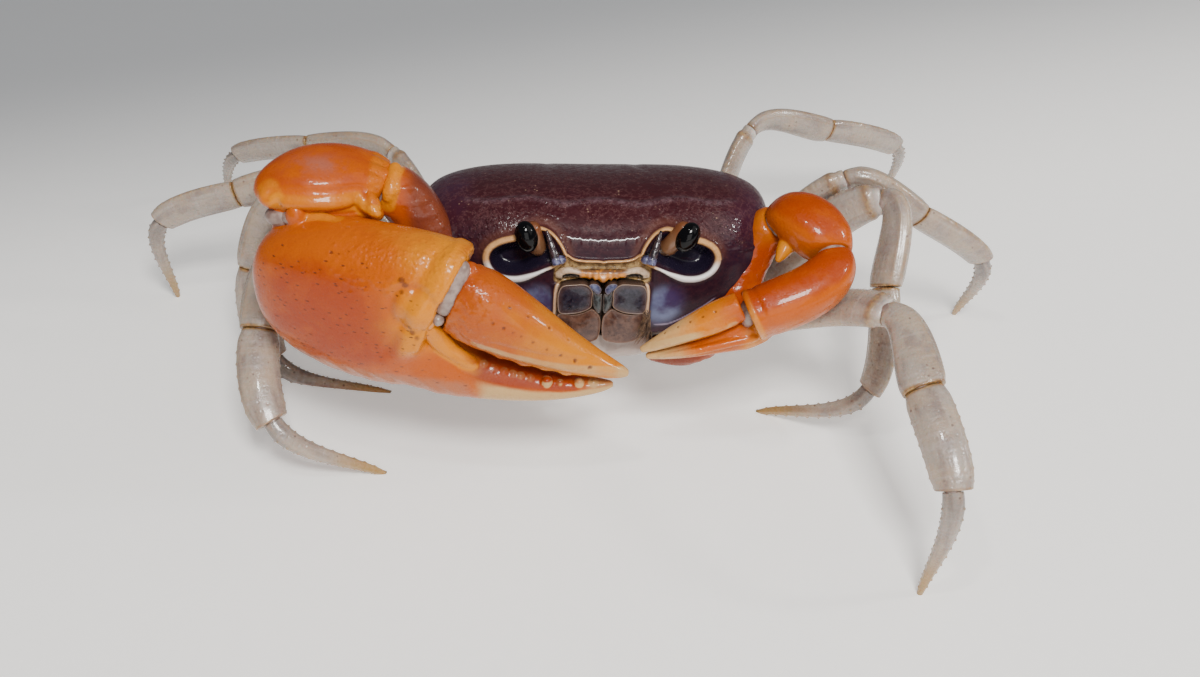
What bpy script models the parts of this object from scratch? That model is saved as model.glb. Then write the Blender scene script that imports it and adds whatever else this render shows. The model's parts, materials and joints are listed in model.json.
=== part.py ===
"""Freshwater crab, adult male, life size, standing on the floor with its big claw across its front.

Metres, +Z up. The crab faces -Y and its own left side is +X. Each piece of shell is one object.
"""
import math

import bmesh
import bpy
from mathutils import Matrix, Vector
from mathutils.bvhtree import BVHTree

for old in list(bpy.data.objects):
    bpy.data.objects.remove(old)

MM = 0.001
GAP = 0.3 * MM

# Carapace, in the body's own frame: its middle is the origin, its front is -Y
CARAPACE_WIDTH = 33.8 * MM
MIDDLE_Y = -2 * MM
MIDDLE_Z = 1.3 * MM
BELLY_CUT = -5.6 * MM
FULLNESS_FRONT = 3.1
FULLNESS_TOP = 5.0
FULLNESS_REAR = 1.9
FULLNESS_BELLY = 2.1
HIND_BELLY_TUCK = 0.9
SLICES = 26
PROFILE_POINTS = 32

# How the body is held over the floor
BODY_HEIGHT = 14 * MM
BODY_PITCH = 23
BODY_YAW = 4
BODY_ROLL = 3.2

# The middle of the whole pose on the floor, which becomes the model's origin
ORIGIN = (-2.955 * MM, -1.175 * MM)

# Orbits, eyes and front
ORBIT = (8.15 * MM, 1.75 * MM)
ORBIT_HALF_WIDTH = 2.85 * MM
ORBIT_HALF_HEIGHT = 2.05 * MM
ORBIT_DEPTH = 2.2 * MM
RIM_RADIUS = 0.5 * MM
EYE_LEAN = 0.45 * MM
CORNEA_SIZE = (1.05 * MM, 1.0 * MM, 1.6 * MM)

# Legs: merus, carpus, propodus and dactyl lengths, and the shell's height at the merus
LEG_LENGTHS = {
    1: (19.6 * MM, 9.0 * MM, 9.3 * MM, 12.0 * MM),
    2: (20.8 * MM, 8.6 * MM, 9.9 * MM, 12.7 * MM),
    3: (20.4 * MM, 8.4 * MM, 9.0 * MM, 11.8 * MM),
    4: (18.9 * MM, 10.4 * MM, 10.5 * MM, 11.6 * MM),
}
LEG_HEIGHT = {1: 4.4 * MM, 2: 4.2 * MM, 3: 3.9 * MM, 4: 3.3 * MM}
HIP_X = {1: 12.0 * MM, 2: 12.6 * MM, 3: 12.0 * MM, 4: 10.8 * MM}
HIP_Y = {1: -3.8 * MM, 2: 0.5 * MM, 3: 4.7 * MM, 4: 8.6 * MM}
HIP_Z = -6.9 * MM
COXA_ROOT_X = 8.3 * MM
COXA_PITCH = 3.5 * MM
COXA_ROOT_Z = -7.5 * MM
FOOT_SINK = 0.25 * MM

# Pose of each leg in degrees: azimuth turns from straight out towards the rear,
# elevation rises from the floor. The last elevation follows from the foot standing on the floor.
POSE = {
    ("left", 1): ((-31, 27), (-77, -11), (-78, -26), -136),
    ("left", 2): ((5, 39), (-91, -42), (-104, -51), 159),
    ("left", 3): ((4, 47), (-6, -27), (2, -38), 93),
    ("left", 4): ((57, 46), (27, -16), (24, -26), 81),
    ("right", 1): ((19, 13), (-75, -23), (-103, -30), -176),
    ("right", 2): ((18, 30), (-23, -59), (-108, -69), -166),
    ("right", 3): ((27, 28), (-1, -10), (-2, -21), 63),
    ("right", 4): ((52, 29), (22, -9), (21, -19), 55),
}

# Turn of each leg's flat sides about its own line, in degrees from standing on edge:
# for the whole leg, and for what comes after the merus
LEG_TWIST = {
    ("left", 1): (-74, 0), ("left", 2): (-50, 0), ("left", 3): (0, 0), ("left", 4): (0, 0),
    ("right", 1): (0, 60), ("right", 2): (0, 0), ("right", 3): (0, 0), ("right", 4): (0, 0),
}

COLOURS = {
    "carapace": (0.105, 0.035, 0.055, 0.22),
    "underside": (0.36, 0.25, 0.24, 0.40),
    "mouth": (0.10, 0.09, 0.16, 0.25),
    "stalk": (0.52, 0.22, 0.08, 0.35),
    "cornea": (0.006, 0.006, 0.008, 0.08),
    "claw": (0.62, 0.16, 0.035, 0.28),
    "finger": (0.80, 0.34, 0.07, 0.30),
    "leg": (0.52, 0.46, 0.44, 0.38),
}


def mm(x, y, z):
    """A point given in millimetres."""
    return Vector((x * MM, y * MM, z * MM))


def along(stops, place):
    """The values at a place on smooth lines through stops, each a row of place and values."""
    if place <= stops[0][0]:
        return list(stops[0][1:])
    if place >= stops[-1][0]:
        return list(stops[-1][1:])
    low = max(i for i, stop in enumerate(stops[:-1]) if stop[0] <= place)
    span = stops[low + 1][0] - stops[low][0]
    u = (place - stops[low][0]) / span
    values = []
    for column in range(1, len(stops[0])):
        slopes = []
        for i in (low, low + 1):
            before, after = stops[max(i - 1, 0)], stops[min(i + 1, len(stops) - 1)]
            slopes.append((after[column] - before[column]) / (after[0] - before[0]) * span)
        start, end = stops[low][column], stops[low + 1][column]
        values.append(
            (2 * u**3 - 3 * u**2 + 1) * start + (u**3 - 2 * u**2 + u) * slopes[0]
            + (3 * u**2 - 2 * u**3) * end + (u**3 - u**2) * slopes[1]
        )
    return values


def bump(place, middle, half_width):
    """1 at the middle, falling smoothly to 0 at half_width from it."""
    reach = abs(place - middle) / half_width
    return (1 + math.cos(math.pi * reach)) / 2 if reach < 1 else 0.0


def bezier(ends, handles, t):
    """Point and direction at t on a cubic curve between two ends."""
    a, d = ends
    b, c = handles
    s = 1 - t
    point = a * s**3 + b * (3 * s * s * t) + c * (3 * s * t * t) + d * t**3
    way = (b - a) * (s * s) + (c - b) * (2 * s * t) + (d - c) * (t * t)
    return point, way.normalized()


def section(centre, side, up, half_thickness, rise, drop, fullness, count):
    """A ring of points round a centre: an oval whose top and bottom have their own heights."""
    points = []
    for i in range(count):
        angle = math.tau * (i + 0.5) / count
        c, s = math.cos(angle), math.sin(angle)
        across = math.copysign(abs(c) ** (2 / fullness), c) * half_thickness
        height = math.copysign(abs(s) ** (2 / fullness), s) * (rise if s > 0 else drop)
        points.append(centre + side * across + up * height)
    return points


def new_object(name, bm):
    """Close a bmesh into a smooth-shaded object of triangles."""
    bmesh.ops.recalc_face_normals(bm, faces=bm.faces)
    bmesh.ops.triangulate(bm, faces=bm.faces)
    mesh = bpy.data.meshes.new(name)
    bm.to_mesh(mesh)
    bm.free()
    mesh.shade_smooth()
    mesh.set_sharp_from_angle(angle=math.radians(50))
    obj = bpy.data.objects.new(name, mesh)
    parts.objects.link(obj)
    return obj


def skin(name, rings):
    """A closed solid over a row of rings of points, with a flat face at each end."""
    bm = bmesh.new()
    rows = [[bm.verts.new(point) for point in ring] for ring in rings]
    count = len(rows[0])
    for first, second in zip(rows, rows[1:]):
        for i in range(count):
            j = (i + 1) % count
            bm.faces.new((first[i], first[j], second[j], second[i]))
    bm.faces.new(rows[0])
    bm.faces.new(rows[-1])
    return new_object(name, bm)


def limb(name, ends, ways, side, sizes, sides, steps, bend=0.3, fullness=2.2, waves=()):
    """A tube on a bent line. Each row of sizes is place, half thickness, rise and drop.

    Waves are teeth or knobs on the top (+1) or bottom (-1) edge: place, half width, height, edge.
    """
    length = (ends[1] - ends[0]).length
    handles = (ends[0] + ways[0] * (length * bend), ends[1] - ways[1] * (length * bend))
    rings = []
    last_way = ways[0]
    side = (side - ways[0] * side.dot(ways[0])).normalized()
    for i in range(steps + 1):
        t = i / steps
        centre, way = bezier(ends, handles, t)
        side = last_way.rotation_difference(way) @ side
        side = (side - way * side.dot(way)).normalized()
        last_way = way
        half_thickness, rise, drop = along(sizes, t)
        for place, half_width, height, edge in waves:
            if edge > 0:
                rise += height * bump(t, place, half_width)
            else:
                drop += height * bump(t, place, half_width)
        up = side.cross(way)
        rings.append(section(centre, side, up, half_thickness, rise, drop, fullness, sides))
    return skin(name, rings), side


def scaled(rows, size):
    """Size rows given as fractions of one size, with the places kept."""
    return [(row[0], *(value * size for value in row[1:])) for row in rows]


def ball(name, centre, radii, turn=None, rings=8):
    """An ellipsoid with its own turn."""
    bm = bmesh.new()
    bmesh.ops.create_uvsphere(bm, u_segments=2 * rings, v_segments=rings, radius=1)
    placing = Matrix.Translation(centre) @ (turn or Matrix()).to_4x4() @ Matrix.Diagonal((*radii, 1))
    bmesh.ops.transform(bm, matrix=placing, verts=bm.verts)
    return new_object(name, bm)


def keep_largest(mesh):
    """Drop every loose scrap and inner wall, so that one closed surface is left."""
    bm = bmesh.new()
    bm.from_mesh(mesh)
    bmesh.ops.remove_doubles(bm, verts=bm.verts, dist=0.001 * MM)
    bm.faces.ensure_lookup_table()
    unseen = set(bm.faces)
    islands = []
    while unseen:
        stack = [unseen.pop()]
        island = []
        while stack:
            face = stack.pop()
            island.append(face)
            for edge in face.edges:
                for other in edge.link_faces:
                    if other in unseen:
                        unseen.remove(other)
                        stack.append(other)
        islands.append(island)
    islands.sort(key=lambda island: sum(face.calc_area() for face in island))
    for island in islands[:-1]:
        bmesh.ops.delete(bm, geom=island, context="FACES")
    bmesh.ops.delete(bm, geom=[v for v in bm.verts if not v.link_faces], context="VERTS")
    bmesh.ops.triangulate(bm, faces=bm.faces)
    bm.to_mesh(mesh)
    bm.free()
    mesh.shade_smooth()
    mesh.set_sharp_from_angle(angle=math.radians(50))


def carve(target, tools, operation):
    """Union or difference of a target with closed tools, applied, with the tools then removed."""
    group = bpy.data.collections.new("tools")
    bpy.context.scene.collection.children.link(group)
    for tool in tools:
        parts.objects.unlink(tool)
        group.objects.link(tool)
    step = target.modifiers.new(operation.lower(), "BOOLEAN")
    step.operation = operation
    step.operand_type = "COLLECTION"
    step.collection = group
    step.solver = "EXACT"
    bpy.context.view_layer.update()
    graph = bpy.context.evaluated_depsgraph_get()
    mesh = bpy.data.meshes.new_from_object(target.evaluated_get(graph))
    target.modifiers.clear()
    mesh.name = target.name
    target.data = mesh
    for tool in tools:
        bpy.data.objects.remove(tool)
    bpy.data.collections.remove(group)
    keep_largest(mesh)


def slice_off(obj, point, normal):
    """Cut away what lies beyond a plane, on the side of its normal, and close the cut with a flat face."""
    bm = bmesh.new()
    bm.from_mesh(obj.data)
    geom = bm.verts[:] + bm.edges[:] + bm.faces[:]
    cut = bmesh.ops.bisect_plane(
        bm, geom=geom, dist=0.0001 * MM, plane_co=point, plane_no=normal, clear_outer=True)
    rim = [item for item in cut["geom_cut"] if isinstance(item, bmesh.types.BMEdge)]
    bmesh.ops.edgeloop_fill(bm, edges=rim)
    bmesh.ops.recalc_face_normals(bm, faces=bm.faces)
    bmesh.ops.triangulate(bm, faces=bm.faces)
    bm.to_mesh(obj.data)
    bm.free()
    obj.data.shade_smooth()
    obj.data.set_sharp_from_angle(angle=math.radians(50))


def finish(obj, colour, parent):
    """Give an object its material and its parent."""
    obj.data.materials.clear()
    obj.data.materials.append(materials[colour])
    obj.parent = parent


def make_materials():
    made = {}
    for name, (red, green, blue, roughness) in COLOURS.items():
        material = bpy.data.materials.new(name)
        material.use_nodes = True
        shader = material.node_tree.nodes["Principled BSDF"]
        shader.inputs["Base Color"].default_value = (red, green, blue, 1)
        shader.inputs["Roughness"].default_value = roughness
        shader.inputs["Metallic"].default_value = 0
        made[name] = material
    return made


def closed_curve(points, count):
    """Evenly spread points on a smooth closed line through the given (y, z) pairs."""
    total = len(points)
    rows = []
    for i in range(count):
        place = i / count * total
        k, u = int(place), place % 1
        p0, p1, p2, p3 = (points[(k + j) % total] for j in (-1, 0, 1, 2))
        rows.append(tuple(
            b + (c - a) * u / 2 + (2 * a - 5 * b + 4 * c - d) * u**2 / 2 + (3 * b - a - 3 * c + d) * u**3 / 2
            for a, b, c, d in zip(p0, p1, p2, p3)
        ))
    return rows


def median_profile():
    """Side view of the carapace on its middle line, from the front margin over the top and back."""
    crest_y, crest_z = -10.1, 6.6
    margin_y, margin_z = -12.5, 1.9
    return [(y * MM, z * MM) for y, z in (
        (margin_y, margin_z), (-11.9, 4.4), (crest_y, crest_z), (-7.0, 7.8), (-2.0, 8.35), (3.0, 8.1),
        (8.0, 6.9), (12.0, 4.6), (13.9, 2.0), (13.6, -1.4), (11.4, -4.6), (6.0, -7.2), (0.0, -8.4),
        (-5.5, -8.6), (-9.2, -7.0), (-11.2, -3.2), (-12.1, 0.0),
    )]


def drawn_in(y, z, share):
    """A point of the median profile drawn towards the body's middle at a share of the half width."""
    angle = math.atan2(z - MIDDLE_Z, y - MIDDLE_Y)
    c, s = math.cos(angle), math.sin(angle)
    fullness = (
        FULLNESS_FRONT * min(c, 0) ** 2 + FULLNESS_REAR * max(c, 0) ** 2
        + FULLNESS_TOP * max(s, 0) ** 2 + FULLNESS_BELLY * min(s, 0) ** 2
        + HIND_BELLY_TUCK * max(c, 0) * min(s, 0)
    )
    scale = (1 - abs(share) ** fullness) ** (1 / fullness)
    return MIDDLE_Y + (y - MIDDLE_Y) * scale, MIDDLE_Z + (z - MIDDLE_Z) * scale


def shell_blank():
    """The rounded body, before the orbits and the mouth are cut."""
    profile = closed_curve(median_profile(), PROFILE_POINTS)
    rings = []
    for i in range(1, SLICES):
        share = math.sin(math.pi * (i / SLICES - 0.5))
        x = share * CARAPACE_WIDTH / 2
        rings.append([Vector((x, *drawn_in(y, z, share))) for y, z in profile])
    return skin("carapace", rings)


def surface_of(obj):
    """A lookup of the frontmost point of an object at a given x and z."""
    bm = bmesh.new()
    bm.from_mesh(obj.data)
    tree = BVHTree.FromBMesh(bm)
    bm.free()

    def front(x, z):
        hit = tree.ray_cast(Vector((x, -40 * MM, z)), Vector((0, 1, 0)))[0]
        return hit if hit else Vector((x, -8 * MM, z))

    return front


def tube(name, points, radius, sides=8, closed=False):
    """A round tube along points, as an object; radius is a number or one for each point."""
    rings = []
    count = len(points)
    side = None
    for i, point in enumerate(points):
        after = points[(i + 1) % count] if closed or i < count - 1 else point
        before = points[i - 1] if closed or i > 0 else point
        way = (after - before).normalized()
        side = Vector((0, -1, 0)) if side is None else side
        side = (side - way * side.dot(way)).normalized()
        size = radius[i] if isinstance(radius, list) else radius
        rings.append(section(point, side, side.cross(way), size, size, size, 2, sides))
    if not closed:
        return skin(name, rings)
    bm = bmesh.new()
    rows = [[bm.verts.new(point) for point in ring] for ring in rings]
    for first, second in zip(rows, rows[1:] + rows[:1]):
        for i in range(sides):
            j = (i + 1) % sides
            bm.faces.new((first[i], first[j], second[j], second[i]))
    return new_object(name, bm)


def orbit_rim(front, sign, count=20):
    """Points on the shell round one orbit."""
    points = []
    for i in range(count):
        angle = math.tau * i / count
        x = sign * (ORBIT[0] + ORBIT_HALF_WIDTH * math.cos(angle))
        z = ORBIT[1] + ORBIT_HALF_HEIGHT * math.sin(angle)
        points.append(front(x, z))
    return points


def stalk_ends(front, sign):
    """Foot and top of one eyestalk, standing just clear of the shell."""
    foot = Vector((sign * 5.95 * MM, front(sign * 5.95 * MM, 2.2 * MM).y + 0.3 * MM, 2.2 * MM))
    top = Vector((sign * 7.25 * MM + EYE_LEAN, foot.y - 0.35 * MM, 5.5 * MM))
    return foot, top


STALK_SIZES = [(0, 0.75, 0.75, 0.75), (0.3, 0.85, 0.8, 0.8), (0.6, 0.8, 0.75, 0.75), (0.85, 0.75, 0.7, 0.7),
               (1, 0.35, 0.35, 0.35)]


def stalk(name, front, sign, grow):
    foot, top = stalk_ends(front, sign)
    way = (top - foot).normalized()
    sizes = [(row[0], *(value * MM + grow for value in row[1:])) for row in STALK_SIZES]
    return limb(name, (foot - way * grow, top + way * grow), (way, way), Vector((0, 1, 0)), sizes, 10, 7)[0]


def cornea(name, front, sign, grow, rings):
    foot, top = stalk_ends(front, sign)
    centre = foot.lerp(top, 0.62) + Vector((sign * 0.62 * MM, -0.5 * MM, 0))
    lean = Vector((0, 0, 1)).rotation_difference(top - foot).to_matrix()
    return ball(name, centre, [size + grow for size in CORNEA_SIZE], lean, rings)


MAXILLIPED = [(0, 1.2, 0.5, 0.5), (0.10, 1.5, 0.6, 0.5), (0.45, 1.75, 0.7, 0.5), (0.52, 1.78, 0.55, 0.5),
              (0.60, 1.75, 0.72, 0.5), (0.85, 1.45, 0.65, 0.5), (1, 1.0, 0.45, 0.45)]


def maxilliped(name, sign):
    """One outer mouth plate, leaning back towards its lower end, waisted where its two pieces meet."""
    ends = (mm(sign * 2.2, -12.3, -0.2), mm(sign * 1.6, -10.6, -6.2))
    way = (ends[1] - ends[0]).normalized()
    sizes = scaled(MAXILLIPED, MM)
    return limb(name, ends, (way, way), Vector((-1, 0, 0)), sizes, 12, 10, fullness=3.2)[0]


def mouth_hollow():
    """Cutter for the field that holds the mouth plates."""
    ends = (mm(0, -13.1, 0.25), mm(0, -11.2, -7.2))
    way = (ends[1] - ends[0]).normalized()
    sizes = scaled([(0, 3.9, 1.7, 1.9), (0.5, 4.15, 1.7, 1.9), (1, 3.9, 1.7, 1.9)], MM)
    return limb("mouth_hollow", ends, (way, way), Vector((1, 0, 0)), sizes, 16, 4, fullness=5)[0]


def frontal_lip(front):
    """The raised margin of the front, from one eye notch down and across to the other."""
    half = ((5.9, 4.75), (4.7, 4.4), (3.85, 3.4), (3.1, 2.35), (1.8, 1.95), (0.6, 1.88))
    row = [(-x, z) for x, z in half] + [(x, z) for x, z in reversed(half)]
    points = [front(x * MM, z * MM) for x, z in row]
    return tube("frontal_lip", points, 0.33 * MM)


def epistome(front):
    """The toothed bar above the mouth."""
    reach = 4.4 * MM
    depth = front(0, 0.5 * MM).y
    sizes = scaled([(0, 0.25, 0.25, 0.25), (0.08, 0.45, 0.4, 0.3), (0.92, 0.45, 0.4, 0.3),
                    (1, 0.25, 0.25, 0.25)], MM)
    teeth = [(0.5, 0.09, 0.45 * MM, 1), (0.36, 0.05, 0.12 * MM, 1), (0.64, 0.05, 0.12 * MM, 1)]
    ends = (Vector((-reach, depth, 0.5 * MM)), Vector((reach, depth, 0.5 * MM)))
    way = Vector((1, 0, 0))
    return limb("epistome", ends, (way, way), Vector((0, 1, 0)), sizes, 8, 20, waves=teeth)[0]


def make_carapace():
    shell = shell_blank()
    front = surface_of(shell)
    slice_off(shell, Vector((0, 0, BELLY_CUT)), Vector((0, 0, -1)))
    rims = [tube("rim", orbit_rim(front, sign), RIM_RADIUS, 6, closed=True) for sign in (-1, 1)]
    pits = []
    for sign in (-1, 1):
        x, z = sign * ORBIT[0], ORBIT[1]
        centre = Vector((x, front(x, z).y - 0.3 * MM, z))
        radii = (ORBIT_HALF_WIDTH - 0.1 * MM, ORBIT_DEPTH, ORBIT_HALF_HEIGHT - 0.1 * MM)
        pits.append(ball("pit", centre, radii, rings=8))
    carve(shell, pits, "DIFFERENCE")
    carve(shell, rims + [frontal_lip(front)], "UNION")
    notches = [stalk("notch", front, sign, GAP) for sign in (-1, 1)]
    notches += [cornea("notch", front, sign, GAP, 6) for sign in (-1, 1)]
    for side in ("left", "right"):
        limbs = [claw_merus(side, GAP)]
        for number in range(1, 5):
            limbs += leg_pieces(side, number, 2, GAP)
        for piece in limbs:
            piece.matrix_world = body_place.inverted()
        notches += limbs
    carve(shell, notches + [mouth_hollow(), pleon("pleon_bed", GAP)], "DIFFERENCE")
    carve(shell, [epistome(front)], "UNION")
    return shell, front


PLEON_PATH = [(0, 14.3, 0.2), (0.2, 13.9, -3.4), (0.4, 11.9, -7.0), (0.6, 8.2, -9.2), (0.8, 3.2, -10.0),
              (1, -2.4, -9.9)]
PLEON_WIDTH = [(0, 3.6), (0.12, 4.6), (0.35, 5.6), (0.5, 5.0), (0.65, 3.4), (0.8, 2.5), (0.93, 1.7),
               (1, 0.5)]


def pleon(name, grow):
    """The narrow tail of a male, folded forward under the body, in seven overlapping rings."""
    rings = []
    steps = 21
    for i in range(steps + 1):
        t = i / steps
        y, z = along(PLEON_PATH, t)
        y1, z1 = along(PLEON_PATH, min(t + 0.02, 1))
        y0, z0 = along(PLEON_PATH, max(t - 0.02, 0))
        way = Vector((0, y1 - y0, z1 - z0)).normalized()
        half_width = along(PLEON_WIDTH, t)[0] * MM + grow
        step = 0.12 * MM if i % 3 == 0 and not grow else 0
        half_thickness = 0.55 * MM + grow - step
        centre = mm(0, y, z)
        if grow and i in (0, steps):
            centre += way * (grow if i else -grow)
        up = Vector((1, 0, 0)).cross(way)
        across = Vector((1, 0, 0))
        rings.append(section(centre, across, up, half_width, half_thickness, half_thickness, 3, 10))
    return skin(name, rings)


def make_sternum():
    """The breastplate between the legs, with a bed for the folded tail."""
    ends = (mm(0, -9.0, -7.05), mm(0, 10.4, -7.05))
    way = Vector((0, 1, 0))
    sizes = scaled([(0, 2.6, 0.9, 0.9), (0.1, 5.0, 1.05, 1.8), (0.3, 7.6, 1.1, 2.7), (0.6, 7.7, 1.1, 2.8),
                    (0.85, 6.4, 1.05, 2.2), (1, 4.2, 0.9, 1.2)], MM)
    ridges = [(0.14 + 0.18 * i, 0.06, -0.25 * MM, -1) for i in range(5)]
    plate = limb("sternum", ends, (way, way), Vector((1, 0, 0)), sizes, 14, 16, fullness=3, waves=ridges)[0]
    carve(plate, [pleon("pleon_bed", GAP)], "DIFFERENCE")
    return plate


def direction(sign, azimuth, elevation):
    a, e = math.radians(azimuth), math.radians(elevation)
    return Vector((sign * math.cos(a) * math.cos(e), math.sin(a) * math.cos(e), math.sin(e)))


def joint_way(before, after, lead):
    """Direction through a joint, nearer to the piece before it."""
    return (before * (1 - lead) + after * lead).normalized()


COXA = [(0, 0.36, 0.34, 0.34), (0.25, 0.37, 0.42, 0.42), (0.55, 0.30, 0.34, 0.34), (0.8, 0.30, 0.38, 0.38),
        (1, 0.27, 0.34, 0.34)]
MERUS = [(0, 0.24, 0.32, 0.30), (0.12, 0.26, 0.42, 0.38), (0.4, 0.28, 0.53, 0.45), (0.75, 0.27, 0.53, 0.43),
         (0.93, 0.27, 0.46, 0.38), (1, 0.23, 0.36, 0.30)]
CARPUS = [(0, 0.22, 0.30, 0.28), (0.2, 0.24, 0.38, 0.32), (0.65, 0.27, 0.50, 0.42), (0.9, 0.26, 0.50, 0.42),
          (1, 0.23, 0.40, 0.34)]
PROPODUS = [(0, 0.20, 0.34, 0.30), (0.12, 0.23, 0.45, 0.40), (0.5, 0.24, 0.47, 0.42),
            (0.85, 0.21, 0.44, 0.38), (1, 0.18, 0.34, 0.28)]
DACTYL = [(0, 0.16, 0.22, 0.20), (0.15, 0.16, 0.24, 0.20), (0.6, 0.12, 0.16, 0.13), (0.9, 0.08, 0.09, 0.08),
          (1, 0.055, 0.06, 0.055)]


LEG_SHAPES = [("coxa", COXA, 8, 5, 2.4), ("merus", MERUS, 10, 8, 2.2), ("carpus", CARPUS, 10, 6, 2.3),
              ("propodus", PROPODUS, 10, 7, 2.3), ("dactyl", DACTYL, 8, 9, 2.0)]


def leg_line(side, number):
    """Joints of one leg from the body to the floor, and the direction of each piece between them."""
    sign = 1 if side == "left" else -1
    turns = POSE[side, number]
    hip = body_place @ Vector((sign * HIP_X[number], HIP_Y[number], HIP_Z))
    root_y = (number - 2.35) * COXA_PITCH + 0.6 * MM
    root = body_place @ Vector((sign * COXA_ROOT_X, root_y, COXA_ROOT_Z))
    joints = [root, hip]
    ways = [(hip - root).normalized()]
    for turn, length in zip(turns[:3], LEG_LENGTHS[number]):
        ways.append(direction(sign, *turn))
        joints.append(joints[-1] + ways[-1] * length)
    reach = LEG_LENGTHS[number][3]
    elevation = -math.degrees(math.asin((joints[-1].z + FOOT_SINK) / reach))
    ways.append(direction(sign, turns[3], elevation))
    joints.append(joints[-1] + ways[-1] * reach)
    return joints, ways


def leg_pieces(side, number, last_piece=5, grow=0):
    """The pieces of one leg in order, each a little larger all round by grow."""
    joints, ways = leg_line(side, number)
    start_way = body_place.to_3x3() @ Vector((1 if side == "left" else -1, 0, 0))
    across = ways[1].cross(Vector((0, 0, 1))).normalized()
    twist, late_twist = (math.radians(angle) for angle in LEG_TWIST[side, number])
    across = Matrix.Rotation(twist, 3, ways[1]) @ across
    pieces = []
    for i, (part, rows, sides, steps, fullness) in enumerate(LEG_SHAPES[:last_piece]):
        lead = 0.32 if part == "merus" else 0.4
        end_way = ways[i] if part == "dactyl" else joint_way(ways[i], ways[i + 1], lead)
        start = joints[i] + start_way * (GAP / 2)
        end = joints[i + 1] if part == "dactyl" else joints[i + 1] - end_way * (GAP / 2)
        if part == "carpus":
            across = Matrix.Rotation(late_twist, 3, start_way) @ across
        sizes = [(row[0], *(value * LEG_HEIGHT[number] + grow for value in row[1:])) for row in rows]
        name = f"leg_{side}_{number}_{part}"
        piece, across = limb(
            name, (start - start_way * grow, end + end_way * grow), (start_way, end_way),
            across, sizes, sides, steps, 0.3, fullness)
        pieces.append(piece)
        start_way = end_way
    return pieces


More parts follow.
